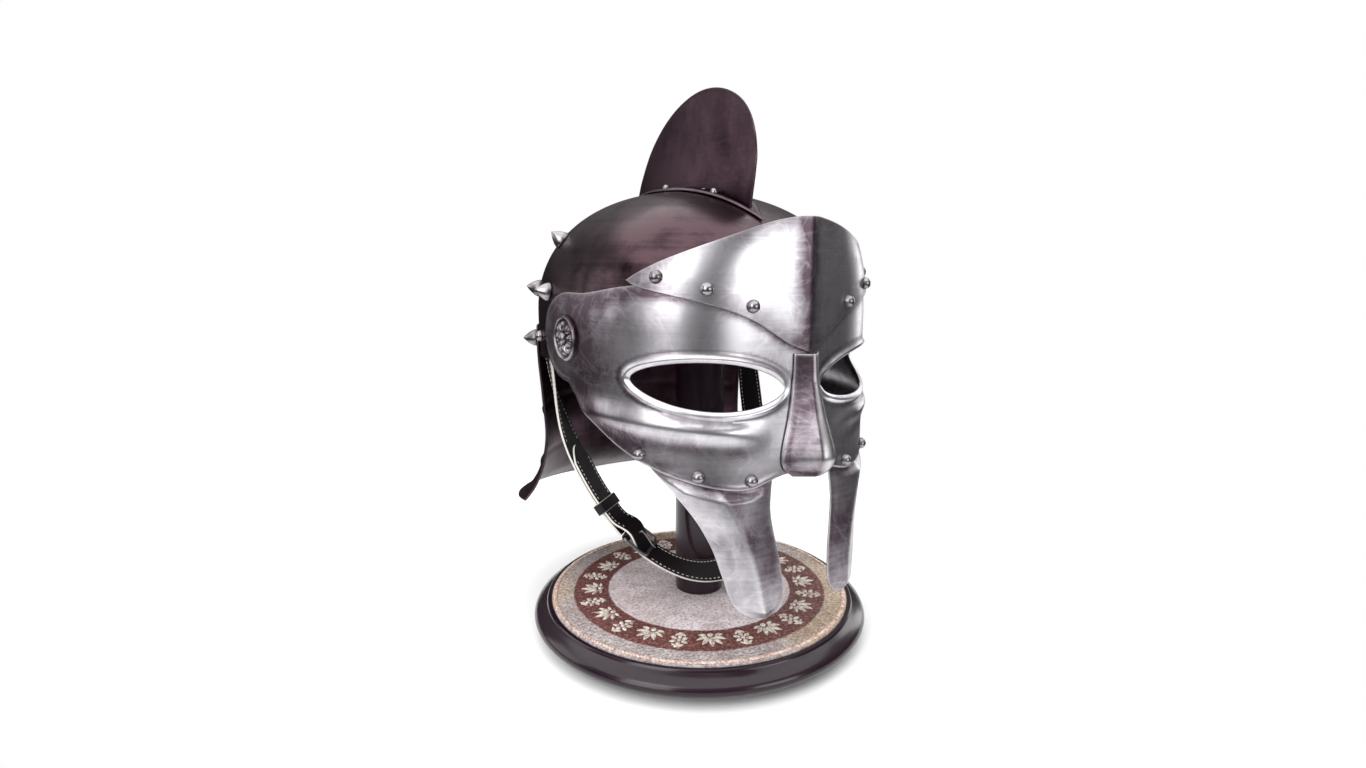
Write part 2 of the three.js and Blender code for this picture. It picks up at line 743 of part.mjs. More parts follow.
function makeBuckleStrap() {
  const end = barDistance - barSleeve - foldLeather;
  const body = strapSolid(stepsBetween(0, end, 24), () => 0, () => strapWidth / 2, leather);
  const sleeveProfile = new THREE.Shape();
  sleeveProfile.absarc(0, 0, barSleeve + foldLeather, 0, 2 * Math.PI);
  const bore = new THREE.Path();
  bore.absarc(0, 0, barSleeve, 0, 2 * Math.PI, true);
  sleeveProfile.holes.push(bore);
  const sleeve = new THREE.ExtrudeGeometry(sleeveProfile, {
    depth: strapWidth,
    bevelEnabled: false,
    curveSegments: 8,
  });
  sleeve.translate(0, 0, -strapWidth / 2);
  sleeve.rotateX(Math.PI / 2);
  const neck = new THREE.BoxGeometry(barSleeve + foldLeather + 3, strapWidth, foldLeather + 1);
  neck.translate(-(barSleeve + foldLeather) - 1, 0, -barOut + leather / 2 - 0.4);
  const slotLength = 5 * barSleeve;
  const slot = new THREE.BoxGeometry(slotLength, 2 * prongRadius + 4 * seatGap, slotLength);
  slot.translate(slotLength / 2 - barSleeve - foldLeather - seatGap, 0, 0);
  return body
    .add(placedOn(buckleOnStrap(), neck, barOut))
    .subtract(placedOn(buckleOnStrap(), new THREE.BoxGeometry(2 * barSleeve, strapWidth + 2, 2 * barSleeve), barOut))
    .add(placedOn(buckleOnStrap(), sleeve, barOut))
    .subtract(placedOn(buckleOnStrap(), slot, barOut));
}

const tipEnd = barDistance - strapTipLength;

function tipHalfWidth(distance) {
  const share = Math.min(Math.max((distance - tipEnd) / strapPointLength, 0), 1);
  return (strapWidth / 2) * Math.max(Math.sqrt(share), 0.12) - 0.01;
}

// A punched hole through the strap's tip end
function punch(distance) {
  const hole = new THREE.CylinderGeometry(holeRadius, holeRadius, 12, 8);
  hole.rotateX(Math.PI / 2);
  return placedOn(strapFrame(distance), hole, tipLift(distance));
}

const prongHole = barDistance + barSleeve + foldLeather + prongRadius + seatGap + 0.9;

function makeTipStrap() {
  const distances = [
    ...stepsBetween(tipEnd, tipEnd + strapPointLength, 5),
    ...stepsBetween(tipEnd + 1.7 * strapPointLength, farEdge + liftRun / 4, 14),
    ...stepsBetween(farEdge + liftRun, routeLength, 30),
  ];
  const body = strapSolid(distances, tipLift, tipHalfWidth, leather);
  const holes = [2, 3, 4].map((n) => prongHole - n * holePitch);
  return [prongHole, ...holes].reduce((solid, d) => solid.subtract(punch(d)), body);
}

// Buckle frame: a rounded ring whose near side is the bar
function makeBuckleFrame() {
  const outline = new THREE.Shape();
  const ring = (path, inset) => {
    const halfWidth = frameHalfWidth - inset;
    const [from, to] = [inset - buckleRod, buckleLength + buckleRod - inset];
    path.moveTo(from, -halfWidth);
    path.lineTo(to - 3, -halfWidth);
    path.quadraticCurveTo(to, -halfWidth, to, -halfWidth + 4);
    path.lineTo(to, halfWidth - 4);
    path.quadraticCurveTo(to, halfWidth, to - 3, halfWidth);
    path.lineTo(from, halfWidth);
    path.closePath();
  };
  ring(outline, 0);
  const opening = new THREE.Path();
  ring(opening, 2 * buckleRod);
  outline.holes.push(opening);
  const depth = 2 * barHalfDepth;
  const frame = new THREE.ExtrudeGeometry(outline, { depth, bevelEnabled: false, curveSegments: 3 });
  frame.translate(0, 0, -depth / 2);
  frame.rotateY(-frameTilt);
  return placedOn(buckleOnStrap(), frame, barOut);
}

const farSideOut = leather / 2 + 0.5 + buckleRod + seatGap;
const frameTilt = Math.atan2(farSideOut - barOut, buckleLength);

// Prong: a ring round the bar and a bent wire through the strap onto the buckle's far side
function makeProng() {
  const overFar = farSideOut + barHalfDepth + prongRadius + seatGap;
  const overStrap = tipLiftOverBar + leather / 2 + prongRadius + seatGap;
  const holeAlong = prongHole - barDistance;
  const onBuckle = (along, out) => point(along, 0, out - barOut);
  const path = new THREE.CatmullRomCurve3([
    onBuckle(barSleeve + 0.5 * foldLeather, barOut),
    onBuckle(holeAlong - 0.4, barOut + 1.4),
    onBuckle(holeAlong, overStrap - 1.6),
    onBuckle(holeAlong + 1.6, overStrap + 0.4),
    onBuckle(buckleLength - 1, overFar + 0.3),
    onBuckle(buckleLength + 2.4, overFar + 0.1),
  ]);
  const section = new THREE.Shape();
  section.absarc(0, 0, prongRadius, 0, 2 * Math.PI);
  const wire = new THREE.ExtrudeGeometry(section, {
    steps: 10,
    curveSegments: 3,
    bevelEnabled: false,
    extrudePath: path,
  });
  const annulus = new THREE.Shape();
  annulus.absarc(0, 0, barSleeve + foldLeather, 0, 2 * Math.PI);
  const bore = new THREE.Path();
  bore.absarc(0, 0, barSleeve, 0, 2 * Math.PI, true);
  annulus.holes.push(bore);
  const ring = new THREE.ExtrudeGeometry(annulus, { depth: 2 * prongRadius, bevelEnabled: false, curveSegments: 6 });
  ring.translate(0, 0, -prongRadius);
  ring.rotateX(Math.PI / 2);
  return placedOn(buckleOnStrap(), wire, barOut).add(placedOn(buckleOnStrap(), ring, barOut));
}

// Keeper: a leather loop round both strap layers
function makeKeeper() {
  const distance = barDistance - keeperFromBar;
  const wall = keeperLeather;
  const inner = [
    strapWidth / 2 + 2 * strapClearance,
    leather / 2 + 2 * strapClearance,
    tipLiftOverStrap + leather / 2 + 2 * strapClearance,
  ];
  const outline = new THREE.Shape();
  const box = (path, grow) => {
    path.moveTo(-inner[0] - grow, -inner[1] - grow);
    path.lineTo(inner[0] + grow, -inner[1] - grow);
    path.lineTo(inner[0] + grow, inner[2] + grow);
    path.lineTo(-inner[0] - grow, inner[2] + grow);
    path.closePath();
  };
  box(outline, wall);
  const opening = new THREE.Path();
  box(opening, 0);
  outline.holes.push(opening);
  const loop = new THREE.ExtrudeGeometry(outline, { depth: keeperWidth, bevelEnabled: false });
  loop.applyMatrix4(new THREE.Matrix4().makeBasis(point(0, 1, 0), point(0, 0, 1), point(1, 0, 0)));
  return placedOn(strapFrame(distance), loop, 0);
}

// Stand
function makePlinth() {
  const h = plinthHeight;
  const lip = discRadius + seatGap;
  return turned(
    [
      [0, 0],
      [plinthFootRadius, 0],
      [plinthFootRadius, 0.22 * h],
      [plinthFootRadius + 0.62 * (plinthRadius - plinthFootRadius), 0.28 * h],
      [plinthRadius - 1.4, 0.4 * h],
      [plinthRadius, 0.53 * h],
      [plinthRadius - 1.4, 0.68 * h],
      [plinthRadius - 5.5, 0.82 * h],
      [lip + 4.2, 0.93 * h],
      [lip + 3.4, h],
      [lip, h],
      [lip, h - discRecess],
      [0, h - discRecess],
    ],
    44,
  );
}

function makeDisc() {
  return turned(
    [
      [0, 0],
      [discRadius, 0],
      [discRadius, discThickness - 0.6],
      [discRadius - 0.8, discThickness],
      [0, discThickness],
    ],
    44,
  );
}

// Post: one turned piece whose head rests under the bowl's crown
const postFootZ = discTopZ + seatGap;
const innerCrownZ = bowlHeight(0, bowlCentreY) - bowlSteel;

function makePost() {
  const head = shares(4).map((t) => {
    const r = headRestRadius * (1 - t);
    const under = Math.min(...[0, 90, 180, 270].map((a) => innerHeightAt(r, a)));
    return [r, under - plateGap - seatGap - postFootZ - 0.02 * r];
  });
  const rimH = head[0][1];
  const flare = headRestRadius - postRadius;
  return turned(
    [
      [0, 0],
      [postRadius, 0],
      [postRadius, rimH - headRestDepth],
      [postRadius + 0.12 * flare, rimH - 0.65 * headRestDepth],
      [postRadius + 0.46 * flare, rimH - 0.36 * headRestDepth],
      [headRestRadius, rimH - 0.15 * headRestDepth],
      ...head,
    ],
    24,
  );
}

// Height of the bowl's inside over a point of the plan, by radius and angle round the post
function innerHeightAt(radius, angle) {
  const [x, y] = [radius * Math.cos(radians(angle)), radius * Math.sin(radians(angle))];
  const sizes = [bowlHalfWidth, bowlFrontReach, bowlBackReach].map((size) => size - bowlSteel);
  const share = planShare(x, y - bowlCentreY, ...sizes);
  return wallTopZ + (innerCrownZ - wallTopZ) * (1 - share ** domeFullness) ** (1 / domeFullness);
}

// Materials
const material = (color, roughness, metalness) =>
  new THREE.MeshStandardMaterial({ color, roughness, metalness });
const brushedSteel = material(0xa8a5a2, 0.34, 1);
const brownedSteel = material(0x4e4240, 0.38, 1);
const darkSteel = material(0x3a3032, 0.42, 1);
const polishedSteel = material(0xc9c8c8, 0.22, 1);
const blackLeather = material(0x17140f, 0.55, 0);
const ebonisedWood = material(0x1d1416, 0.32, 0);
const stoneDisc = material(0xb8ada6, 0.7, 0);

const helmet = new THREE.Group();

function addPiece(name, solid, look) {
  const mesh = new THREE.Mesh(geometryOf(solid), look);
  mesh.name = name;
  helmet.add(mesh);
  return mesh;
}

// Stands a turned piece on a surface point, looking out along the normal
function seatPiece(name, geometry, at, normal, look) {
  const mesh = new THREE.Mesh(geometry, look);
  mesh.name = name;
  mesh.position.copy(at);
  mesh.quaternion.setFromUnitVectors(point(0, 0, 1), normal);
  helmet.add(mesh);
}

addPiece("stand_plinth", makePlinth(), ebonisedWood);
addPiece("stand_disc", makeDisc(), stoneDisc).position.z = plinthHeight - discRecess + seatGap;
addPiece("stand_post", makePost(), ebonisedWood).position.z = postFootZ;
addPiece("bowl", makeBowl(), brownedSteel);
addPiece("crest_saddle", makeSaddle(), brownedSteel);
addPiece("crest_fin", makeFin(), darkSteel);
addPiece("face_plate", makeFacePlate(), brushedSteel);
addPiece("brow_plate", makeBrowPlate(), brushedSteel);
addPiece("nasal", makeNasal(), brushedSteel);
addPiece("cheek_guard_right", makeCheekGuard(-1), brushedSteel);
addPiece("cheek_guard_left", makeCheekGuard(1), brushedSteel);
addPiece("neck_guard", makeNeckGuard(), darkSteel);
addPiece("strap_buckle_end", makeBuckleStrap(), blackLeather);
addPiece("strap_tip_end", makeTipStrap(), blackLeather);
addPiece("strap_keeper", makeKeeper(), blackLeather);
addPiece("buckle_frame", makeBuckleFrame(), polishedSteel);
addPiece("buckle_prong", makeProng(), polishedSteel);

const studGeometry = geometryOf(turned(studProfile(studRadius), 8));
const smallStudGeometry = geometryOf(turned(studProfile(smallStudRadius), 8));
const largeStudGeometry = geometryOf(turned(largeStudProfile, 10));
const bossGeometry = geometryOf(turned(bossProfile, 24));

function studOn(name, surface, angle, z, outside, geometry, look) {
  const at = offsetPoint(surface, angle, z, outside + seatGap);
  seatPiece(name, geometry, at, normalOf(surface, angle, z), look);
}

const bothSides = [
  ["right", -1],
  ["left", 1],
];

for (const [side, sign] of bothSides) {
  studOn(`temple_boss_${side}`, facePoint, sign * bossAngle, bossZ, 0, bossGeometry, polishedSteel);
  studOn(`strap_stud_${side}`, bowlPoint, sign * strapAngle, strapTop.z, 0, studGeometry, polishedSteel);
  [21, 35, 49].forEach((angle, i) => {
    const z = browEdge(angle, "low") + 2 * studRadius;
    studOn(`brow_stud_${side}_${i + 1}`, facePoint, sign * angle, z, plateGap + steel, studGeometry, polishedSteel);
  });
  [22, 38, 54].forEach((angle, i) => {
    const z = facePlateEdge(angle, "low") + cheekOverlap / 2;
    studOn(`cheek_stud_${side}_${i + 1}`, facePoint, sign * angle, z, 0, studGeometry, polishedSteel);
  });
  [-0.62, 0, 0.62].forEach((along, i) => {
    const y = crestMiddleY + along * crestHalfLength;
    const x = sign * (saddleHalfWidth * (1 - along ** 2) - 1.35 * smallStudRadius);
    const at = crownPoint(x, y, plateGap + steel + seatGap);
    const normal = crownPoint(x, y, 1).sub(crownPoint(x, y, 0)).normalize();
    seatPiece(`saddle_stud_${side}_${i + 1}`, smallStudGeometry, at, normal, polishedSteel);
  });
}

// Studs on the bowl, their height as a share of the crown's
const bowlStuds = [
  { angle: 101, up: 0.42 },
  { angle: 125, up: 0.42 },
  { angle: 150, up: 0.42 },
  { angle: 112, up: 0.71 },
  { angle: 147, up: 0.71 },
];

for (const [side, sign] of bothSides) {
  bowlStuds.forEach((row, i) => {
    const [angle, z] = [sign * row.angle, eyeLineZ + crownAboveEyes * row.up];
    studOn(`bowl_stud_${side}_${i + 1}`, bowlPoint, angle, z, 0, largeStudGeometry, polishedSteel);
  });
}

const neckStudCount = 7;
shares(neckStudCount - 1).forEach((s, i) => {
  const angle = 180 + (2 * s - 1) * (neckGuardSpan - 9);
  const z = neckTopZ - neckGuardOverlap / 2;
  studOn(`neck_stud_${i + 1}`, neckPoint, angle, z, 0, largeStudGeometry, polishedSteel);
});

export default helmet;
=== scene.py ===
"""A steel arena helmet on its turned stand, dressed for the studio. Surfaces are in millimetres."""

import bmesh
import bpy
import math
import numpy as np
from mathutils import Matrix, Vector
from mathutils.geometry import delaunay_2d_cdt


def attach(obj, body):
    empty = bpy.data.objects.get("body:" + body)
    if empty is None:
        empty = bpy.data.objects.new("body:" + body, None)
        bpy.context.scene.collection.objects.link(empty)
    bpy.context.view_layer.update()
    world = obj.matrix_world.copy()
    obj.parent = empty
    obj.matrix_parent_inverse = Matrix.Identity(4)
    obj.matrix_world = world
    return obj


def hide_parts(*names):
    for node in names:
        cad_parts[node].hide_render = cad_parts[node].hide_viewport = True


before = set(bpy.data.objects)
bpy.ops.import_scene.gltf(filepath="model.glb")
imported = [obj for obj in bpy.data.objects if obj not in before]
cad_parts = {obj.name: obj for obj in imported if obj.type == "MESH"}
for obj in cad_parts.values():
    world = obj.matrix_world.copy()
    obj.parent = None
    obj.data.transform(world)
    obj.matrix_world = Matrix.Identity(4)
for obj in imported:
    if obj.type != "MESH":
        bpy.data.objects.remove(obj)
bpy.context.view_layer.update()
MM = 0.001


def placed(name, data):
    """A new object in the scene."""
    obj = bpy.data.objects.new(name, data)
    bpy.context.scene.collection.objects.link(obj)
    return obj


# Camera, as worked out from the circles of the stand
CAMERA_PLACE = (-0.3486, -0.4797, 0.3119)
CAMERA_AZIMUTH = math.radians(36)
CAMERA_TURN = 0.023
CAMERA_PITCH = 0.181
CAMERA_LENS = 19.29
SENSOR_WIDTH = 36.0

camera = placed("camera", bpy.data.cameras.new("camera"))
camera.data.lens = CAMERA_LENS
camera.data.sensor_width = SENSOR_WIDTH
camera.data.sensor_fit = "HORIZONTAL"
camera.location = CAMERA_PLACE
camera.rotation_euler = (math.pi / 2 - CAMERA_PITCH, 0, CAMERA_TURN - CAMERA_AZIMUTH)
bpy.context.scene.camera = camera
bpy.context.scene.view_settings.view_transform = "Standard"

# Sizes that the plates share with the solids
STEEL = 1.6
BOWL_STEEL = 2.0
SEAT_GAP = 0.3
PLATE_GAP = 0.5
LEATHER = 2.2
EYE_Z = 224.0
CROWN_UP = 134.0
WALL_UP = 36.0
CENTRE_Y = 20.0
BOWL_WIDE, BOWL_FRONT, BOWL_BACK = 114.0, 130.0, 134.0
FULLNESS = 2.2
FRONT_FULL, BACK_FULL = 2.9, 2.2
RIM_FRONT, RIM_SIDE, RIM_BACK = 44.0, 8.0, 4.0
FACE_FRONT = 139.0
FACE_KEEL = 5.0
KEEL_ANGLE = 20.0
CHIN_DOWN = 161.0
BROW_UP = 110.0
WALL_Z = EYE_Z + WALL_UP
DOME = CROWN_UP - WALL_UP
FACE_OFF = PLATE_GAP + STEEL

# How the nets are laid: a degree's length on the face, rings of points along an edge, the edge's rounding
DEG_MM = 2.05
RINGS = (0.35, 0.8, 1.5, 2.4, 3.4, 4.6, 6.2, 8.2)
OUTLINE_STEP, HOLE_STEP = 1.6, 1.2
EDGE_ROUND = 0.55
SHARP_ANGLE = math.radians(38)
BRUSH_UNIT = 100.0


def through(rows, at):
    """Smooth curve through rows of (at, value), flat beyond both ends."""
    xs, ys = np.array(rows, float).T
    at = np.clip(np.asarray(at, float), xs[0], xs[-1])
    slope = np.empty_like(ys)
    slope[1:-1] = (ys[2:] - ys[:-2]) / (xs[2:] - xs[:-2])
    slope[0] = (ys[1] - ys[0]) / (xs[1] - xs[0])
    slope[-1] = (ys[-1] - ys[-2]) / (xs[-1] - xs[-2])
    i = np.clip(np.searchsorted(xs, at, side="right") - 1, 0, len(xs) - 2)
    span = xs[i + 1] - xs[i]
    t = (at - xs[i]) / span
    t2, t3 = t * t, t * t * t
    value = (2 * t3 - 3 * t2 + 1) * ys[i] + (3 * t2 - 2 * t3) * ys[i + 1]
    return value + ((t3 - 2 * t2 + t) * slope[i] + (t3 - t2) * slope[i + 1]) * span


def bump(d, centre, half):
    """A smooth hill of height 1 round the centre."""
    return 0.5 * (1 + np.cos(np.pi * np.clip(np.abs(d - centre) / half, 0, 1)))


def ends_first(n):
    """Numbers from -1 to 1, closer together at the ends."""
    return np.sin(np.linspace(-np.pi / 2, np.pi / 2, n))


def circle(n):
    """Cosine and sine of n even turns."""
    turns = np.linspace(0, 2 * np.pi, n, endpoint=False)
    return list(zip(np.cos(turns), np.sin(turns)))


def unit(v):
    return v / np.linalg.norm(v, axis=-1, keepdims=True)


# Surfaces
def plan_share(x, y, wide, front, back):
    """How far out a point of the plan lies, as a share of a curve with two rounded halves."""
    full = np.where(y < 0, FRONT_FULL, BACK_FULL)
    reach = np.where(y < 0, front, back)
    return (np.abs(x / wide) ** full + np.abs(y / reach) ** full) ** (1 / full)


def plan_point(angle, wide, front, back, z):
    """A point of such a plan curve, angle 0 at the front."""
    turn = np.radians(angle)
    across, along = np.sin(turn), np.cos(turn)
    grow = 1 / plan_share(across, -along, 1, 1, 1)
    reach = np.where(along > 0, front, back)
    return np.stack([wide * across * grow, CENTRE_Y - reach * along * grow, z + 0 * turn], -1)


def dome_rise(z):
    return np.clip((z - WALL_Z) / DOME, 0, 1)


def dome_curve(share):
    """The dome's side curve: its height at a share of its reach, or the other way round."""
    return (1 - share**FULLNESS) ** (1 / FULLNESS)


def bowl_point(angle, z, offset=0.0):
    rise = dome_rise(z)
    height = np.where(z > WALL_Z, WALL_Z + rise * (DOME + offset), z)
    grown = [(s + offset) * dome_curve(rise) for s in (BOWL_WIDE, BOWL_FRONT, BOWL_BACK)]
    return plan_point(angle, *grown, height)


def bowl_height(x, y):
    share = np.minimum(plan_share(x, y - CENTRE_Y, BOWL_WIDE, BOWL_FRONT, BOWL_BACK), 1)
    return WALL_Z + DOME * dome_curve(share)


def crown_point(x, y, offset):
    """A point over the bowl's crown, lifted square to it."""
    step = 0.5
    fall = [bowl_height(x - dx, y - dy) - bowl_height(x + dx, y + dy) for dx, dy in ((step, 0), (0, step))]
    n = unit(np.stack([*fall, 0 * x + 2 * step], -1))
    return np.stack([x, y, bowl_height(x, y)], -1) + n * np.asarray(offset)[..., None]


FACE_WIDTHS = [(0, 1), (0.25, 0.99), (0.5, 0.955), (0.75, 0.91), (1, 0.87)]
FACE_REACHES = [(0, 1), (0.25, 1.02), (0.5, 1.045), (0.75, 1.075), (1, 1.105)]


def face_point(angle, z):
    drop = (EYE_Z - z) / CHIN_DOWN
    scale = dome_curve(dome_rise(z))
    wide = (BOWL_WIDE * scale + FACE_OFF) * through(FACE_WIDTHS, drop)
    keel = FACE_KEEL * np.maximum(1 - np.abs(angle) / KEEL_ANGLE, 0) ** 2
    front = FACE_FRONT * through(FACE_REACHES, drop) + keel
    return plan_point(angle, wide, front, BOWL_BACK * scale + FACE_OFF, z)


def normals(surface, angle, z):
    step = 0.5
    across = surface(angle + step, z) - surface(angle - step, z)
    up = surface(angle, z + step) - surface(angle, z - step)
    return unit(np.cross(across, up))


def mesh_object(name, points, faces, material, node=None):
    """A smooth object from points in millimetres, in place of a node if one is given."""
    mesh = bpy.data.meshes.new(name)
    mesh.from_pydata([tuple(p) for p in np.asarray(points, float) * MM], [], [tuple(f) for f in faces])
    mesh.update()
    mesh.shade_smooth()
    mesh.set_sharp_from_angle(angle=SHARP_ANGLE)
    mesh.materials.append(material)
    obj = placed(name, mesh)
    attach(obj, "root")
    if node:
        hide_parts(node)
    return obj


def attribute(obj, name, values):
    layer = obj.data.attributes.new(name, "FLOAT", "POINT")
    layer.data.foreach_set("value", np.asarray(values, np.float32))


def mark(obj, patina_and_shade, edge, across, up):
    """What the steel looks read at each point: patina in the recesses together with painted shade, worn
    edges together with painted highlights along some ridges, and the way of the brush.
    """
    attribute(obj, "patina_and_shade", patina_and_shade)
    attribute(obj, "edge", edge)
    layer = obj.data.uv_layers.new(name="brush")
    corner = np.empty(len(obj.data.loops), int)
    obj.data.loops.foreach_get("vertex_index", corner)
    uv = np.stack([across, up], 1).astype(np.float32) / BRUSH_UNIT
    layer.data.foreach_set("uv", uv[corner].ravel())


def mark_skins(obj, patina_and_shade, edge, across, up, inner=None):
    """The same for a sheet of two skins, the inner one with an even patina if one is given."""
    patina_and_shade, edge, across, up = (np.ravel(v) for v in (patina_and_shade, edge, across, up))
    behind = patina_and_shade if inner is None else np.full(len(patina_and_shade), inner)
    mark(obj, np.concatenate([patina_and_shade, behind]), *(np.tile(v, 2) for v in (edge, across, up)))


def grid_faces(columns, rows, closed=False, start=0):
    faces = []
    for i in range(columns if closed else columns - 1):
        for j in range(rows - 1):
            a, b = start + i * rows + j, start + (i + 1) % columns * rows + j
            faces.append((a, b, b + 1, a + 1))
    return faces


def two_skins(columns, rows):
    """Faces of two like grids of points and of the wall round their edge."""
    count = columns * rows
    ring = [i * rows for i in range(columns)] + [(columns - 1) * rows + j for j in range(1, rows)]
    ring += [i * rows + rows - 1 for i in range(columns - 2, -1, -1)] + list(range(rows - 2, 0, -1))
    faces = [f[::-1] for f in grid_faces(columns, rows)] + grid_faces(columns, rows, start=count)
    return faces + [(a, b, b + count, a + count) for a, b in zip(ring, ring[1:] + ring[:1])]


def lathe_faces(columns, rows):
    """Faces of columns of points round an axis, which follow the axis's own two points."""
    faces = []
    for i in range(columns):
        a, b = 2 + i * rows, 2 + (i + 1) % columns * rows
        faces += [(0, b, a), (1, a + rows - 1, b + rows - 1)]
        faces += [(a + j, b + j, b + j + 1, a + j + 1) for j in range(rows - 1)]
    return faces


def loft_faces(rings, sides, closed=False, start=0):
    """Faces that join rings of points in turn, capped at both ends unless the last joins the first."""
    faces = []
    for i in range(rings if closed else rings - 1):
        near, far = start + i * sides, start + (i + 1) % rings * sides
        for k in range(sides):
            after = (k + 1) % sides
            faces.append((near + k, near + after, far + after, far + k))
    if not closed:
        last = start + (rings - 1) * sides
        faces += [tuple(range(start + sides - 1, start - 1, -1)), tuple(range(last, last + sides))]
    return faces


def lathe(profile, segments):
    """A lathe body about +Z from a profile of (radius, height) that starts and ends on the axis."""
    points = [(0, 0, profile[0][1]), (0, 0, profile[-1][1])]
    for c, s in circle(segments):
        points.extend((r * c, r * s, h) for r, h in profile[1:-1])
    return np.array(points), lathe_faces(segments, len(profile) - 2)


def seated(points, at, normal):
    """Points about +Z, moved to a surface point and turned to look out along the normal."""
    turn = Vector((0, 0, 1)).rotation_difference(Vector(normal)).to_matrix()
    return at + points @ np.array(turn).T


def swept(name, path, radii, material, up, node=None, sides=14, closed=False, flat=1.0):
    """A rod along a path of points, its radius given at each point, flattened along up if asked."""
    n = len(path)
    points = []
    for i, p in enumerate(path):
        ahead = path[(i + 1) % n] if closed or i < n - 1 else p
        behind = path[i - 1] if closed or i > 0 else p
        run = unit(ahead - behind)
        high = unit(up - run * (up @ run))
        wide = np.cross(run, high)
        points.extend(p + (wide * c + high * flat * s) * radii[i] for c, s in circle(sides))
    return mesh_object(name, points, loft_faces(n, sides, closed), material, node)


def bead_row(name, places, size, material):
    """Many small rounded beads in one mesh; each place gives a point and its three directions."""
    rings, sides = (-0.92, -0.5, 0.0, 0.5, 0.92), 6
    hoops = [(h, math.sqrt(1 - h * h)) for h in rings]
    bead = [(h, r * c, r * s) for h, r in hoops for c, s in circle(sides)]
    bead = np.array([(-1, 0, 0), *bead, (1, 0, 0)]) * size
    points, faces = [], []
    for at, *directions in places:
        start = len(points)
        points.extend(at + bead @ np.array(directions))
        first, last = start + 1, start + 1 + (len(rings) - 1) * sides
        faces += loft_faces(len(rings), sides, start=first)[:-2]
        for k in range(sides):
            after = (k + 1) % sides
            faces += [(start, first + after, first + k), (last + k, last + after, last + sides)]
    mesh_object(name, points, faces, material)


def inside(loop, points):
    """Which points lie inside a closed polygon."""
    x, y = points.T
    hit = np.zeros(len(points), bool)
    for (x0, y0), (x1, y1) in zip(loop, np.roll(loop, -1, axis=0)):
        if y0 != y1:
            crosses = (y0 > y) != (y1 > y)
            hit ^= crosses & (x < (x1 - x0) * (y - y0) / (y1 - y0) + x0)
    return hit


def spaced(loop, step):
    """A closed polygon resampled at an even step, its sharp corners kept."""
    out = []
    for a, b in zip(loop, np.roll(loop, -1, axis=0)):
        n = max(int(round(np.linalg.norm(b - a) / step)), 1)
        out.extend(a + (b - a) * k / n for k in range(n))
    return np.array(out)


def distance_to(loop, points):
    """Shortest distance from each point to a closed polygon's sides."""
    best = np.full(len(points), np.inf)
    for a, b in zip(loop, np.roll(loop, -1, axis=0)):
        side = b - a
        t = np.clip(((points - a) @ side) / max(side @ side, 1e-12), 0, 1)
        best = np.minimum(best, np.linalg.norm(points - a - t[:, None] * side, axis=1))
    return best


def inset(loop, by):
    """A closed polygon moved inward, or outward if by is below 0."""
    ahead, behind = np.roll(loop, -1, axis=0), np.roll(loop, 1, axis=0)
    run = ahead - behind
    run /= np.maximum(np.linalg.norm(run, axis=1, keepdims=True), 1e-9)
    area = np.sum(loop[:, 0] * ahead[:, 1] - ahead[:, 0] * loop[:, 1])
    return loop + np.stack([-run[:, 1], run[:, 0]], 1) * (by if area > 0 else -by)


def flat_net(outline, holes, step):
    """Triangles of a flat region with rings of points along its edges, and the loops of those edges."""
    loops = [spaced(outline, OUTLINE_STEP)] + [spaced(h, HOLE_STEP) for h in holes]

    def within(points):
        ok = inside(loops[0], points)
        for hole in loops[1:]:
            ok &= ~inside(hole, points)
        return ok

    def apart(points):
        return np.min([distance_to(loop, points) for loop in loops], axis=0)

    keep = []
    for k, loop in enumerate(loops):
        for by in RINGS:
            ring = inset(loop, -by if k > 0 else by)
            ok = within(ring) & (apart(ring) > 0.93 * by)
            keep.append(ring[ok][:: 1 if by < 4 else 2])
    low, high = loops[0].min(0), loops[0].max(0)
    rows = np.arange(low[1], high[1], step * 0.866)
    grid = np.array([
        (x + (step / 2 if j % 2 else 0), y)
        for j, y in enumerate(rows)
        for x in np.arange(low[0], high[0], step)
    ])
    keep.append(grid[within(grid) & (apart(grid) > RINGS[-1] + 0.4 * step)])
    edges, at = [], 0
    for n in map(len, loops):
        edges.extend((at + i, at + (i + 1) % n) for i in range(n))
        at += n
    made = delaunay_2d_cdt([Vector(v) for v in np.concatenate(loops + keep)], edges, [], 0, 1e-5)
    flat = np.array([tuple(v) for v in made[0]])
    faces = np.array([f for f in made[2] if len(f) == 3])
    faces = faces[within(flat[faces].mean(1))]
    a, b, c = (flat[faces[:, k]] for k in range(3))
    area = (b[:, 0] - a[:, 0]) * (c[:, 1] - a[:, 1]) - (c[:, 0] - a[:, 0]) * (b[:, 1] - a[:, 1])
    faces = np.where(area[:, None] > 0, faces, faces[:, ::-1])[np.abs(area) > 1e-7]
    used, order = np.unique(faces, return_inverse=True)
    return flat[used], order.reshape(faces.shape), loops


def round_off(edge):
    """How far a skin sinks near its edge, so that the edge is rounded."""
    near = np.clip(EDGE_ROUND - edge, 0, EDGE_ROUND)
    return EDGE_ROUND - np.sqrt(EDGE_ROUND**2 - near**2)


def band(turn, low, high, pointed=True):
    """The outline of a plate between two edges, which meet at its ends if it is pointed."""
    back = np.stack([turn, high], 1)[::-1]
    return np.concatenate([np.stack([turn, low], 1), back[1:-1] if pointed else back])


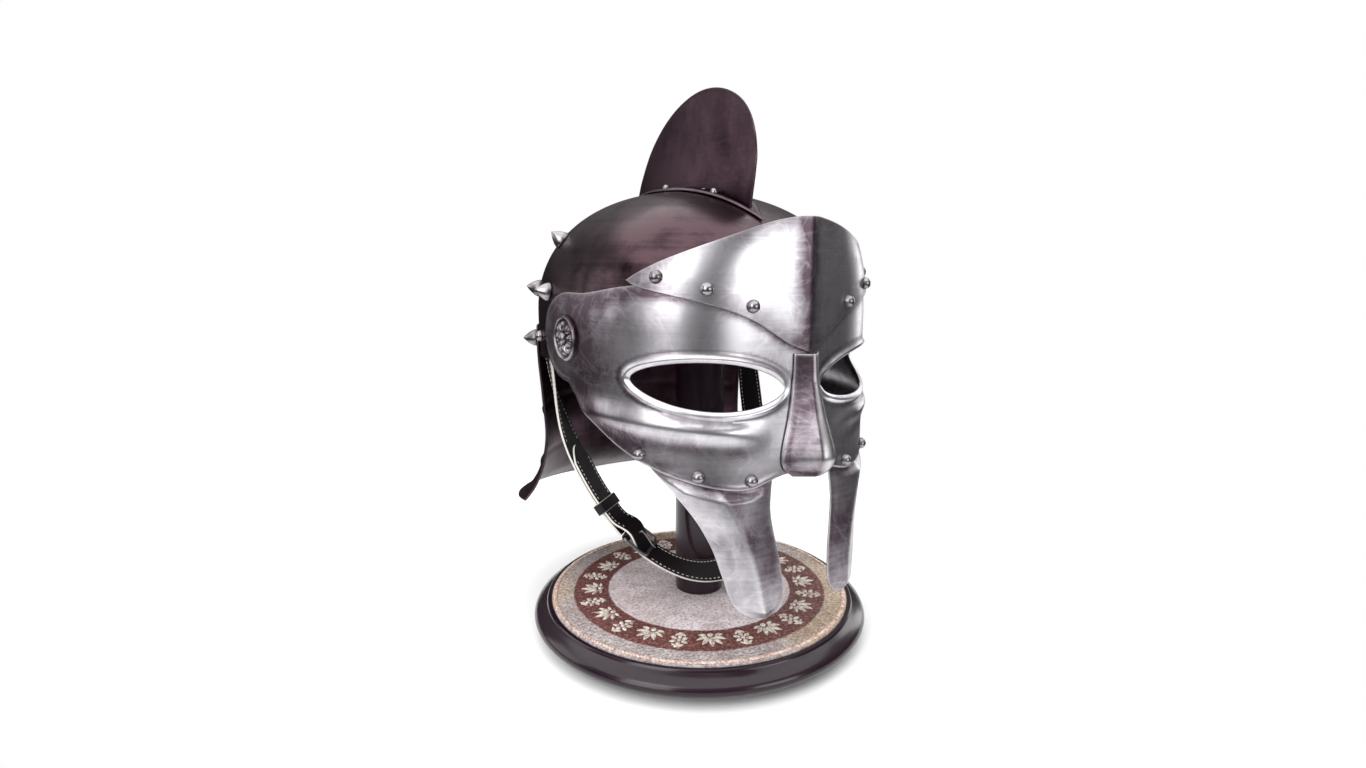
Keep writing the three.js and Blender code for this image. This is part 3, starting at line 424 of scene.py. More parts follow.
def plate(name, node, material, surface, outline, relief, holes=(), lift=0.0, step=3.2):
    """A formed sheet: a region of (angle, height) laid on a surface, embossed, with rounded edges."""
    scale = np.array([DEG_MM, 1.0])
    flat, faces, loops = flat_net(outline * scale, [h * scale for h in holes], step)
    away = [distance_to(loop, flat) for loop in loops]
    edge = np.min(away, axis=0)
    angle, z = flat[:, 0] / DEG_MM, flat[:, 1]
    rise, patina_and_shade = relief(angle, z, away)
    base, n = surface(angle, z), normals(surface, angle, z)
    off, count = round_off(edge), len(flat)
    skins = [base + n * up[:, None] for up in (lift + rise - off, lift + rise - STEEL + off)]
    sides = dict.fromkeys((tri[i], tri[i - 2]) for tri in faces for i in range(3))
    wall = [(b, a, a + count, b + count) for a, b in sides if (b, a) not in sides]
    faces = [*faces, *(faces[:, ::-1] + count), *wall]
    obj = mesh_object(name, np.concatenate(skins), faces, material, node)
    mark_skins(obj, np.clip(patina_and_shade, 0, 1), np.exp(-edge / 0.9), *flat.T, inner=0.5)


# Materials
class Nodes:
    """A node tree with short calls for the nodes used here."""

    def __init__(self, tree):
        self.tree = tree

    def put(self, socket, value):
        """Sets a socket to a number or a colour, or links it to another node's output."""
        if isinstance(value, bpy.types.NodeSocket):
            self.tree.links.new(value, socket)
        else:
            socket.default_value = (*value, 1) if isinstance(value, tuple) else value

    def node(self, kind, **values):
        """A new node, with its settings and sockets by name."""
        made = self.tree.nodes.new("ShaderNode" + kind)
        for key, value in values.items():
            if hasattr(made, key):
                setattr(made, key, value)
            else:
                self.put(made.inputs[key.replace("_", " ")], value)
        return made

    def place(self, scale, kind="Object"):
        mapping = self.node("Mapping", Vector=self.node("TexCoord").outputs[kind])
        mapping.inputs["Scale"].default_value = scale
        return mapping.outputs["Vector"]

    def noise(self, size, detail=4.0, rough=0.55, bend=0.0, kind="Object"):
        """Noise with so many waves to the metre, along all three axes or each of them."""
        at = self.place(size if isinstance(size, tuple) else (size,) * 3, kind)
        made = self.node("TexNoise", Vector=at, Scale=1.0, Detail=detail, Roughness=rough, Distortion=bend)
        return made.outputs["Fac"]

    def ramp(self, value, *stops):
        made = self.node("ValToRGB", Fac=value)
        marks = made.color_ramp.elements
        for mark, (at, colour) in zip(marks, (stops[0], stops[-1])):
            mark.position, mark.color = at, (*colour, 1)
        for at, colour in stops[1:-1]:
            marks.new(at).color = (*colour, 1)
        return made.outputs["Color"]

    def math(self, how, a, b=0.0, clamp=False):
        made = self.node("Math", operation=how, use_clamp=clamp)
        self.put(made.inputs[0], a)
        self.put(made.inputs[1], b)
        return made.outputs["Value"]

    def add(self, a, b, clamp=False):
        return self.math("ADD", a, b, clamp)

    def times(self, a, b):
        return self.math("MULTIPLY", a, b)

    def mix(self, factor, a, b, blend="MIX"):
        made = self.node("Mix", data_type="RGBA", blend_type=blend)
        for k, value in ((0, factor), (6, a), (7, b)):
            self.put(made.inputs[k], value)
        return made.outputs[2]

    def attribute(self, name):
        return self.node("Attribute", attribute_name=name).outputs["Fac"]

    def bump(self, height, strength, distance, **normal):
        made = self.node("Bump", Height=height, Strength=strength, Distance=distance, **normal)
        return made.outputs["Normal"]


class Look(Nodes):
    """A material of such nodes."""

    def __init__(self, name):
        self.material = bpy.data.materials.new(name)
        self.material.use_nodes = True
        super().__init__(self.material.node_tree)

    def give(self, **values):
        """Sets or links the shader's own sockets, and gives the material."""
        shader = self.tree.nodes["Principled BSDF"]
        for key, value in values.items():
            self.put(shader.inputs[key.replace("_", " ")], value)
        return self.material


HAIRLINES = ((17, 1.6), (29, 2.4))
HAIR_THIN, HAIR_WEIGHT = 30.0, 0.22
BASE_STAIN, PATINA_AND_SHADE_STAIN = 0.14, 0.8


def steel_look(name, clean, patina, brush, rough, clouds, streak_strength=0.12, sweep=0.42):
    """Brushed steel: streaks along the brush, patina in clouds and in the recesses, painted shade carried
    with that patina, worn bright edges, and painted highlights carried with those edges.
    """
    look = Look(name)
    streaks = look.noise(brush, 6.0, 0.7, kind="UV")
    fine = look.noise(tuple(3 * b for b in brush), 3.0, 0.6, kind="UV")
    cloud, blotch = look.noise(14, 5.0, 0.6), look.noise(55, 4.0, 0.6)
    stain = look.add(look.times(look.add(cloud, -0.45), clouds), BASE_STAIN)
    stain = look.add(stain, look.times(look.add(blotch, -0.5), 0.5 * clouds))
    stain = look.add(stain, look.times(look.add(streaks, -0.5), sweep))
    # The patina attribute also carries painted shade, which darkens the steel here.
    stain = look.add(stain, look.times(look.attribute("patina_and_shade"), PATINA_AND_SHADE_STAIN), clamp=True)
    for size, bend in HAIRLINES:
        away = look.math("ABSOLUTE", look.add(look.noise(size, 2.0, 0.5, bend), -0.5))
        hair = look.math("SUBTRACT", 1.0, look.times(away, HAIR_THIN), clamp=True)
        hair = look.times(hair, look.times(blotch, HAIR_WEIGHT))
        stain = look.math("SUBTRACT", stain, hair, clamp=True)
    bright = tuple(min(1.35 * c + 0.08, 0.95) for c in clean)
    # The worn-edge attribute also carries painted highlights along ridge lines, which brighten the steel
    # here.
    colour = look.mix(look.times(look.attribute("edge"), 0.4), look.mix(stain, clean, patina), bright)
    roughness = look.add(look.add(rough, look.times(streaks, 0.03)), look.times(stain, 0.08))
    normal = look.bump(cloud, 0.12, 0.004, Normal=look.bump(fine, streak_strength, 0.0003))
    return look.give(Base_Color=colour, Roughness=roughness, Metallic=1.0, Anisotropic=0.2, Normal=normal)


def leather_look():
    look = Look("black_leather")
    grain = look.node("TexVoronoi", Vector=look.place((1, 1, 1)), Scale=900.0).outputs["Distance"]
    # The strap's edges are painted pale here: partly the leather's own cut edge, partly a painted highlight
    # along the edge.
    cloud, cut_edge_and_sheen = look.noise(60), look.attribute("cut_edge_and_sheen")
    dark = look.mix(cloud, (0.006, 0.004, 0.005), (0.018, 0.013, 0.015))
    fibre_and_sheen = look.mix(look.noise(500), (0.72, 0.68, 0.62), (0.9, 0.88, 0.85))
    return look.give(
        Base_Color=look.mix(cut_edge_and_sheen, dark, fibre_and_sheen), Specular_IOR_Level=0.22,
        Normal=look.bump(grain, 0.35, 0.0003),
        Roughness=look.add(look.add(0.36, look.times(cloud, 0.2)), look.times(cut_edge_and_sheen, 0.3)),
    )


def wood_look():
    look = Look("ebonised_wood")
    grain, cloud = look.noise((9, 9, 120), 6.0, 0.65), look.noise(20)
    colour = look.mix(grain, (0.01, 0.003, 0.007), (0.022, 0.008, 0.016))
    return look.give(
        Base_Color=look.mix(look.times(cloud, 0.4), colour, (0.008, 0.004, 0.006)), Specular_IOR_Level=0.24,
        Roughness=look.add(0.2, look.times(grain, 0.1)), Coat_Weight=0.35, Coat_Roughness=0.15,
        Normal=look.bump(grain, 0.06, 0.0006),
    )


def speckled_look(name, size, stops, detail=4.0, rough=0.55, shine=0.6, relief=0.0):
    look = Look(name)
    speck = look.noise(size, detail, rough)
    look.give(Base_Color=look.ramp(speck, *stops), Roughness=shine)
    if relief:
        look.give(Normal=look.bump(speck, relief, 0.0005))
    return look.material


GREY_EDGE, BROWN_EDGE, EDGE_SOFT = 77.7, 107.0, 0.7


def stone_look():
    """Cast stone in three rings: grey-lilac middle, red-brown band and cream border, all mottled."""
    look = Look("stone_disc")
    parts = look.node("SeparateXYZ", Vector=look.node("TexCoord").outputs["Object"])
    squares = [look.times(parts.outputs[k], parts.outputs[k]) for k in (0, 1)]
    wobble = look.times(look.add(look.noise(160), -0.5), 0.002)
    radius = look.add(look.math("SQRT", look.add(*squares)), wobble)
    speck, blotch = look.noise(420, 5.0, 0.75), look.noise(60, 5.0, 0.6)
    middle, brown, border, warm = (look.ramp(speck, *stops) for stops in (
        ((0.34, (0.36, 0.28, 0.31)), (0.5, (0.82, 0.72, 0.74)), (0.64, (0.95, 0.92, 0.92))),
        ((0.34, (0.04, 0.012, 0.012)), (0.52, (0.17, 0.055, 0.048)), (0.66, (0.4, 0.22, 0.19))),
        ((0.34, (0.18, 0.13, 0.13)), (0.5, (0.42, 0.37, 0.37)), (0.64, (0.74, 0.7, 0.68))),
        ((0.34, (0.26, 0.14, 0.06)), (0.64, (0.84, 0.64, 0.38))),
    ))
    aged = look.ramp(look.noise(7, 1.0), (0.5, (0, 0, 0)), (0.62, (0.55, 0.55, 0.55)))
    tint = look.ramp(blotch, (0.35, (0.7, 0.62, 0.6)), (0.6, (1, 1, 1)))

    def beyond(edge):
        low, high = (edge - EDGE_SOFT) * MM, (edge + EDGE_SOFT) * MM
        return look.node("MapRange", Value=radius, From_Min=low, From_Max=high).outputs["Result"]

    colour = look.mix(beyond(GREY_EDGE), middle, brown)
    colour = look.mix(beyond(BROWN_EDGE), colour, look.mix(aged, border, warm))
    colour = look.mix(0.8, colour, tint, "MULTIPLY")
    return look.give(Base_Color=colour, Roughness=0.62, Normal=look.bump(speck, 0.5, 0.0006))


bright_steel = steel_look(
    "bright_steel", (0.67, 0.655, 0.69), (0.11, 0.078, 0.098), (0.5, 46, 1), 0.32, 1.4, 0.0
)
browned_steel = steel_look(
    "browned_steel", (0.085, 0.051, 0.06), (0.014, 0.007, 0.011), (0.35, 14, 1), 0.27, 2.6, 0.12, 2.0
)
dark_steel = steel_look("dark_steel", (0.07, 0.04, 0.052), (0.015, 0.007, 0.011), (0.5, 40, 1), 0.35, 2.2)
stud_steel = steel_look("stud_steel", (0.36, 0.34, 0.36), (0.04, 0.025, 0.03), (1, 30, 1), 0.28, 1.6)
black_leather = leather_look()
thread = speckled_look("thread", 700, ((0, (0.5, 0.47, 0.43)), (1, (0.8, 0.77, 0.72))), shine=0.8)
ebonised_wood = wood_look()
stone_disc = stone_look()
disc_inlay = speckled_look(
    "disc_inlay", 380, ((0.34, (0.3, 0.18, 0.14)), (0.5, (0.66, 0.58, 0.52)), (0.66, (0.9, 0.87, 0.82))),
    detail=5.0, rough=0.7, relief=0.4,
)
rope_stone = speckled_look(
    "rope_stone", 300, ((0.35, (0.42, 0.24, 0.19)), (0.5, (0.72, 0.52, 0.44)), (0.66, (0.86, 0.74, 0.66)))
)

# Bowl
RIM = [(0, RIM_FRONT), (45, RIM_FRONT), (88, RIM_SIDE), (135, RIM_BACK), (180, RIM_BACK)]


def build_bowl():
    columns, wall_rows, dome_rows = 180, 14, 46
    rows = wall_rows + dome_rows
    count = columns * rows
    angles = np.linspace(-180, 180, columns, endpoint=False)
    lift = np.sin(np.linspace(0, np.pi / 2, dome_rows)) ** (2 / FULLNESS)
    points = []
    for offset in (0.0, -BOWL_STEEL):
        for angle in angles:
            rim = EYE_Z + float(through(RIM, abs(angle)))
            start = max(rim, WALL_Z)
            wall = np.linspace(rim, start, wall_rows, endpoint=False)
            dome = start + (WALL_Z + DOME - start) * lift
            points.append(bowl_point(angle, np.concatenate([wall, dome]), offset))
    points = np.concatenate(points)
    faces = grid_faces(columns, rows, True)
    faces += [f[::-1] for f in grid_faces(columns, rows, True, count)]
    rim_points = [i * rows for i in range(columns)]
    faces += [(b, a, a + count, b + count) for a, b in zip(rim_points, rim_points[1:] + rim_points[:1])]
    obj = mesh_object("skull_shell", points, faces, browned_steel, "bowl")
    rise = np.tile(np.concatenate([np.linspace(0, 14, wall_rows), np.full(dome_rows, 30)]), 2 * columns)
    patina_and_shade = 0.55 * bump(rise, 4.5, 3.0) + np.repeat([0.0, 0.4], count)
    mark(obj, patina_and_shade, 0.8 * np.exp(-rise / 1.2), np.repeat(np.tile(angles, 2), rows) * DEG_MM, points[:, 2])
    made = bmesh.new()
    made.from_mesh(obj.data)
    bmesh.ops.remove_doubles(made, verts=made.verts, dist=1e-6)
    made.to_mesh(obj.data)
    made.free()


# Face plate: its edges as shares of the reach above and below the eyes, out to the round lobe at the temple
BOSS_ANGLE, BOSS_UP, LOBE = 84.0, 25.0, 33.0
BOSS_Z = EYE_Z + BOSS_UP
LOBE_END = BOSS_ANGLE + math.degrees(LOBE / BOWL_WIDE)
FACE_BELOW, FACE_ABOVE = 70.0, 60.0
FACE_LOW = [
    (0, 0.885), (10, 0.9), (24, 1), (40, 0.915), (58, 0.7), (74, 0.385),
    (BOSS_ANGLE, (LOBE - BOSS_UP) / FACE_BELOW),
]
FACE_HIGH = [
    (0, 0.67), (10, 0.74), (24, 1), (40, 1.13), (58, 1.08), (74, 0.98),
    (BOSS_ANGLE, (LOBE + BOSS_UP) / FACE_ABOVE),
]
EYE_INNER, EYE_OUTER, EYE_HALF, EYE_SLANT = 8, 56, 16, 4
BROW_FOOT, BROW_END = 20.0, 58.0
BROW_LOW = [
    (0, BROW_FOOT / BROW_UP), (7, 0.235), (20, 0.385), (34, 0.49), (48, 0.555), (55, 0.59), (BROW_END, 0.62),
]
BROW_HIGH = [(0, 1), (7, 0.995), (20, 0.955), (34, 0.865), (48, 0.745), (55, 0.665), (BROW_END, 0.62)]


def face_edge(angle, rows, sign):
    turn = np.abs(angle)
    along = np.clip((turn - BOSS_ANGLE) / (LOBE_END - BOSS_ANGLE), 0, 1)
    lobe = BOSS_Z + sign * LOBE * np.sqrt(1 - along**2)
    reach = FACE_ABOVE if sign > 0 else -FACE_BELOW
    return np.where(turn <= BOSS_ANGLE, EYE_Z + reach * through(rows, turn), lobe)


def brow_edge(angle, rows):
    return EYE_Z + BROW_UP * through(rows, np.abs(angle))


def eye_outline(side):
    middle, reach = (EYE_INNER + EYE_OUTER) / 2, (EYE_OUTER - EYE_INNER) / 2
    along, up = np.array(circle(160)).T
    z = EYE_Z + EYE_HALF * np.sign(up) * np.abs(up) ** 1.25 + EYE_SLANT * along
    return np.stack([side * (middle + reach * along), z], 1)


def face_relief(angle, z, away):
    """A rolled rim round each eye and a ridge over each cheek, with patina beside them and behind, a darker
    band below each cheek ridge, and a painted shadow on the face sheet just under the brow plate's edge.
    """
    angle, edge, eye = np.abs(angle), away[0], np.minimum(away[1], away[2])
    rim = 1.7 * bump(eye, 3.0, 3.0) * np.clip((angle - 6) / 6, 0, 1)
    hem = 0.35 * bump(edge, 2.2, 2.2) * np.clip((angle - 11) / 6, 0, 1) * (z < EYE_Z + 20)
    ridge_z = 197 + 0.22 * (angle - 40) - 0.004 * (angle - 40) ** 2
    window = np.clip((angle - 14) / 14, 0, 1) * np.clip((86 - angle) / 18, 0, 1)
    cheek = 3.2 * np.exp(-(((z - ridge_z) / 7.5) ** 2)) * window * np.clip((eye - 5) / 6, 0, 1)
    lobe = np.hypot((angle - BOSS_ANGLE) * DEG_MM, z - BOSS_Z)
    # Painted shadow: a dark band on the face sheet just under the brow plate's lower edge.
    brow_shadow = np.clip(1 - np.maximum(brow_edge(angle, BROW_LOW) - z, 0) / 7, 0, 1) ** 1.5
    dark = 0.8 * bump(eye, 7.3, 2.6) + 0.7 * bump(z - ridge_z, -13, 9) * window
    dark += 0.9 * bump(lobe, 19, 5) + 0.7 * np.clip((angle - 52) / 20, 0, 1)
    # The second term here paints that shadow under the brow.
    dark += 0.7 * np.clip(1 - (edge - 2) / 14, 0, 1) + 1.1 * brow_shadow * (angle < BROW_END + 3)
    return rim + hem + cheek, dark


def brow_relief(angle, z, away):
    """No relief, but painted shade along the keel and patina along the edges."""
    # Painted shade: the steel is darkened on both sides of the keel.
    keel = np.clip(1 - np.abs(angle) / 8, 0, 1) ** 1.3
    return 0 * z, 1.3 * keel + 0.7 * np.clip(1 - away[0] / 13, 0, 1)


def build_face():
    turn = LOBE_END * ends_first(260)
    outline = band(turn, face_edge(turn, FACE_LOW, -1), face_edge(turn, FACE_HIGH, 1))
    eyes = [eye_outline(side) for side in (1, -1)]
    plate("face_sheet", "face_plate", bright_steel, face_point, outline, face_relief, eyes, step=2.4)
    turn = BROW_END * ends_first(200)
    outline = band(turn, brow_edge(turn, BROW_LOW), brow_edge(turn, BROW_HIGH))
    names = "brow_sheet", "brow_plate"
    plate(*names, bright_steel, face_point, outline, brow_relief, lift=FACE_OFF, step=2.4)


# Cheek guards: angles of the front and rear edge, up from the chin
CHEEK_FRONT = [(0, 20), (0.03, 15.5), (0.11, 12.5), (0.3, 12.5), (0.5, 14), (0.68, 15), (0.84, 14), (1, 12)]
CHEEK_REAR = [(0, 22), (0.03, 27.5), (0.11, 32), (0.3, 34.5), (0.5, 37), (0.68, 41.5), (0.84, 49), (1, 60)]
CHEEK_OVER, CHEEK_RIDGE = 12.0, 5.5
CHIN_Z = EYE_Z - CHIN_DOWN


def cheek_relief(angle, z, away):
    """A ridge down the middle that fades out under the face plate, over an even patina, with painted shade
    on the front facet and just under the face plate's edge, and a painted highlight along the ridge line.
    """
    low = np.clip((face_edge(angle, FACE_LOW, -1) - 2 - z) / 5, 0, 1)
    share = np.clip((z - CHIN_Z) / (CHIN_DOWN - FACE_BELOW + CHEEK_OVER), 0, 1)
    front, rear = through(CHEEK_FRONT, share), through(CHEEK_REAR, share)
    across = (2 * np.abs(angle) - front - rear) / (rear - front)
    ridge = CHEEK_RIDGE * (1 - np.sqrt(across**2 + 0.006)) * np.clip(away[0] / 6, 0, 1)
    # Painted shade on the front facet, and a painted highlight as less patina along the ridge line.
    dark = 0.25 + 0.5 * np.clip(0.5 - 9 * across, 0, 1) - 0.6 * np.exp(-((across / 0.07) ** 2))
    # Painted shade where the guard runs under the face plate's edge.
    return ridge * low, dark + 0.5 * (1 - low)


def build_cheek(side, name):
    t = 1 - np.cos(np.linspace(0, np.pi / 2, 90))
    front, rear = through(CHEEK_FRONT, t), through(CHEEK_REAR, t)

    def place(angle, share):
        top = face_edge(angle, FACE_LOW, -1) + CHEEK_OVER
        return np.stack([side * angle, CHIN_Z + share * (top - CHIN_Z)], 1)

    across = np.linspace(0, 1, 24)[1:-1]
    top = place(rear[-1] + across * (front[-1] - rear[-1]), 1.0)
    bottom = place(front[0] + across * (rear[0] - front[0]), 0.0)
    outline = np.concatenate([bottom, place(rear, t), top, place(front, t)[::-1]])
    names = f"cheek_sheet_{name}", f"cheek_guard_{name}"
    plate(*names, bright_steel, face_point, outline, cheek_relief, lift=-FACE_OFF, step=1.7)


# Neck guard
NECK_SPAN, NECK_DROP, NECK_OVER, NECK_FLARE, NECK_CORNER, NECK_RISE = 65.0, 165.0, 22.0, 40.0, 18.0, 18.0
NECK_TOP = EYE_Z + RIM_BACK + NECK_OVER
NECK_OFF = [(0, 0), (0.14, 0), (0.35, -0.06), (0.6, -0.1), (0.78, 0.08), (0.9, 0.42), (1, 1)]
RIBS, RIB_HIGH, RIB_HALF, RIB_SHADE = (178, 132), 1.3, 4, 7


def neck_point(angle, z):
    off = FACE_OFF + NECK_FLARE * through(NECK_OFF, (NECK_TOP - z) / NECK_DROP)
    return plan_point(angle, BOWL_WIDE + off, BOWL_FRONT + off, BOWL_BACK + off, z)


def neck_relief(angle, z, away):
    """Two ribs across the plate, each with painted shade below it, and patina along the edge."""
    edge = away[0]
    rib = RIB_HIGH * sum(bump(z, at, RIB_HALF) for at in RIBS) * np.clip((edge - 5) / 5, 0, 1)
    hem = 0.25 * bump(edge, 2.6, 2.6) * (z < NECK_TOP - NECK_OVER - 4)
    # Painted shade: a dark band just below each rib.
    below = sum(bump(z, at - RIB_SHADE, RIB_HALF) for at in RIBS)
    return rib + hem, 0.8 * bump(edge, 6.2, 2.4) + 0.6 * below


def build_neck():
    turn = NECK_SPAN * ends_first(160)
    fall = np.maximum(NECK_CORNER - np.radians(NECK_SPAN - np.abs(turn)) * BOWL_WIDE, 0)
    top = NECK_TOP - NECK_CORNER + np.sqrt(np.maximum(NECK_CORNER**2 - fall**2, 0))
    bottom = NECK_TOP - NECK_DROP + NECK_RISE * (turn / NECK_SPAN) ** 2
    outline = band(180 + turn, bottom, top, pointed=False)
    plate("neck_sheet", "neck_guard", dark_steel, neck_point, outline, neck_relief)


# Nasal
NASAL_LENGTH, NASAL_TOP_WIDE, NASAL_FOOT_WIDE, NASAL_RISE = 84.0, 21.0, 42.0, 20.0
NASAL_WIDE = [(0, 0), (0.2, 0.05), (0.5, 0.4), (0.82, 1), (0.93, 0.9), (1, 0.3)]
NASAL_UP = [(0, 0.3), (0.2, 0.38), (0.5, 0.66), (0.82, 1), (0.93, 0.8), (1, 0.42)]
NASAL_TOP = EYE_Z + BROW_FOOT - PLATE_GAP


def build_nasal():
    columns, rows = 65, 90
    s, t = np.meshgrid(np.linspace(-1, 1, columns), np.linspace(0, 1, rows), indexing="ij")
    half = (NASAL_TOP_WIDE + through(NASAL_WIDE, t) * (NASAL_FOOT_WIDE - NASAL_TOP_WIDE)) / 2
    angle = np.degrees(np.arcsin(s * half / BOWL_WIDE))
    z = NASAL_TOP - t * NASAL_LENGTH
    ridge = NASAL_RISE * through(NASAL_UP, t) * (1 - np.sqrt(s**2 + 0.001))
    edge = np.minimum((1 - np.abs(s)) * half, np.minimum(t, 1 - t) * NASAL_LENGTH)
    base, n, off = face_point(angle, z), normals(face_point, angle, z), round_off(edge)
    skins = [base + n * up[..., None] for up in (FACE_OFF + ridge - off, PLATE_GAP + ridge + off)]
    faces = two_skins(columns, rows)
    obj = mesh_object("nasal_bar", np.reshape(skins, (-1, 3)), faces, bright_steel, "nasal")
    # Patina over the whole bar and along its edges, with painted shade on the underside at its foot.
    patina_and_shade = 1.0 + 0.2 * bump(edge, 3.0, 1.8) + 0.3 * bump(t, 1, 0.16)
    # A painted highlight along the ridge line, added to the worn edges.
    mark_skins(obj, patina_and_shade, np.exp(-edge / 0.8) + 1.4 * bump(s, 0, 0.06), s * half, z, inner=0.5)


# Crest
CREST_UP, CREST_FRONT, CREST_BACK, CREST_HALF = 71.0, -62.0, 96.0, 8.0
CREST_LENGTH, CREST_MIDDLE = CREST_BACK - CREST_FRONT, (CREST_FRONT + CREST_BACK) / 2
SADDLE_HALF, SADDLE_OVER = 25.0, 13.0
FIN_AT = (0, 0.04, 0.12, 0.25, 0.42, 0.6, 0.78, 0.92, 1)
FIN_UP = list(zip(FIN_AT, (0, 0.46, 0.79, 0.97, 1, 0.87, 0.61, 0.28, 0)))
FIN_LEAN = list(zip(FIN_AT, (0, -0.075, -0.105, -0.085, -0.04, 0, 0.02, 0.015, 0)))
FIN_THICK = list(zip(FIN_AT, (0.12, 0.35, 0.6, 0.85, 1, 0.95, 0.75, 0.4, 0.12)))
FIN_FOOT = PLATE_GAP + STEEL + PLATE_GAP
FIN_EDGE = 0.9


def build_fin():
    columns, rows = 120, 40
    s, t = np.meshgrid((1 + ends_first(columns)) / 2, np.linspace(0, 1, rows), indexing="ij")
    y = CREST_FRONT + s * CREST_LENGTH
    height = CREST_UP * through(FIN_UP, s)
    top_edge = (1 - t) * (height + 1)
    half = FIN_EDGE + np.maximum(CREST_HALF * through(FIN_THICK, s) - FIN_EDGE, 0) * (1 - t) ** 1.4
    half *= np.sqrt(np.clip(top_edge / FIN_EDGE, 0.05, 1))
    z = bowl_height(0 * y, y) + FIN_FOOT + (height + 1) * t
    near = np.stack([half, y + through(FIN_LEAN, s) * CREST_LENGTH * t, z], -1).reshape(-1, 3)
    faces = [f[::-1] for f in two_skins(columns, rows)]
    points = np.concatenate([near, near * [-1, 1, 1]])
    obj = mesh_object("crest_blade", points, faces, dark_steel, "crest_fin")
    mark_skins(obj, 0.7 * np.exp(-t * height / 5), np.exp(-top_edge), y, z)


def build_saddle():
    columns, rows = 110, 33
    along, t = np.meshgrid(ends_first(columns), np.linspace(-1, 1, rows), indexing="ij")
    half = SADDLE_HALF * (1 - along**2)
    x, y = half * t, CREST_MIDDLE + along * (CREST_LENGTH / 2 + SADDLE_OVER)
    edge = half * (1 - np.abs(t))
    hem = 0.7 * bump(edge, 1.8, 1.8) * np.clip(half / 8, 0, 1)
    off = round_off(edge)
    skins = [crown_point(x, y, up) for up in (FACE_OFF + hem - off, PLATE_GAP + off)]
    faces = two_skins(columns, rows)
    obj = mesh_object("saddle_sheet", np.reshape(skins, (-1, 3)), faces, browned_steel, "crest_saddle")
    mark_skins(obj, 0.7 * bump(edge, 4.4, 1.8), np.exp(-edge / 0.8), x, y)


build_bowl()
build_face()
build_cheek(-1, "right")
build_cheek(1, "left")
build_neck()
build_nasal()
build_fin()
build_saddle()

# Chin strap
STRAP_WIDE, STRAP_ANGLE, STRAP_TOP_UP, STRAP_LOW_Z, STRAP_TURN = 20.0, 111.0, 20.0, 53.0, 65.0
TIP_LENGTH, POINT_LENGTH, LIFT_RUN, STRAP_CLEAR = 84.0, 14.0, 14.0, 0.4
BUCKLE_ALONG, BUCKLE_LENGTH, ROD, FOLD = 0.335, 21.0, 1.5, 1.2
KEEPER_WIDE, KEEPER_FROM_BAR, KEEPER_LEATHER, KEEPER_CORNER = 9.0, 34.0, 1.4, 1.0
PRONG, HOLE, HOLE_PITCH, HOLE_RIM = 1.1, 1.8, 12.0, 0.35
STITCH_PITCH, STITCH_IN, STITCH_SIZE = 3.6, 2.3, (1.15, 0.36, 0.3)
POST_RADIUS = 20.0
STRAP_ROUTE = [
    (1, 1, 1), (0.99, 0.98, 0.9), (0.96, 0.89, 0.71), (0.89, 0.72, 0.5),
    (0.75, 0.5, 0.29), (0.53, 0.25, 0.115), (0.27, 0.05, 0.025),
]


def centripetal(points, per_span=80):
    """A dense centripetal Catmull-Rom line through the points."""
    points = [np.array(p, float) for p in points]
    ends = [2 * points[0] - points[1], *points, 2 * points[-1] - points[-2]]
    out = []
    for p0, p1, p2, p3 in zip(ends, ends[1:], ends[2:], ends[3:]):
        d0, d1, d2 = (max(np.linalg.norm(b - a), 1e-6) ** 0.5 for a, b in ((p0, p1), (p1, p2), (p2, p3)))
        t1 = ((p1 - p0) / d0 - (p2 - p0) / (d0 + d1) + (p2 - p1) / d1) * d1
        t2 = ((p2 - p1) / d1 - (p3 - p1) / (d1 + d2) + (p3 - p2) / d2) * d1
        c2, c3 = -3 * p1 + 3 * p2 - 2 * t1 - t2, 2 * p1 - 2 * p2 + t1 + t2
        out.extend(p1 + t1 * t + c2 * t * t + c3 * t**3 for t in np.arange(per_span) / per_span)
    return np.array(out + [points[-1]])


STRAP_OFF = BOWL_STEEL + SEAT_GAP + LEATHER / 2 + STRAP_WIDE**2 / (8 * BOWL_WIDE)
STRAP_TOP = bowl_point(-STRAP_ANGLE, EYE_Z + STRAP_TOP_UP, -STRAP_OFF)
STRAP_LOW = np.array([0, -(POST_RADIUS + SEAT_GAP + STRAP_WIDE / 2), STRAP_LOW_Z])
LOOP_NORMAL = unit(np.cross([1, 0, 0], STRAP_TOP - STRAP_LOW))


def hung(side):
    return [STRAP_LOW + (STRAP_TOP - STRAP_LOW) * row * np.array([side, 1, 1]) for row in STRAP_ROUTE]


ROUTE = centripetal([*hung(1), STRAP_LOW, *hung(-1)[::-1]])
ROUTE_AT = np.concatenate([[0], np.cumsum(np.linalg.norm(np.diff(ROUTE, axis=0), axis=1))])
ROUTE_LENGTH = ROUTE_AT[-1]


def on_route(d):
    return np.array([np.interp(d, ROUTE_AT, ROUTE[:, k]) for k in range(3)])


def strap_frame(d):
    """The strap's place, and its directions along, across and out of its face, which looks forward."""
    d = min(max(d, 0), ROUTE_LENGTH)
    along = unit(on_route(min(d + 0.6, ROUTE_LENGTH)) - on_route(max(d - 0.6, 0)))
    share = d / ROUTE_LENGTH
    side = -1 if share < 0.5 else 1
    turn = math.radians(STRAP_TURN)
    behind, ahead = (bowl_point(side * (STRAP_ANGLE + by), WALL_Z) for by in (1, -1))
    t = min(max((min(share, 1 - share) - 0.04) / 0.16, 0), 1)
    free = t * t * (3 - 2 * t)
    turned_width = -np.cross(along, LOOP_NORMAL) * math.sin(turn) - LOOP_NORMAL * math.cos(turn)
    width = unit(behind - ahead) * (1 - free) + turned_width * free
    across = unit(width - along * (width @ along))
    return on_route(d), along, across, unit(np.cross(along, across))


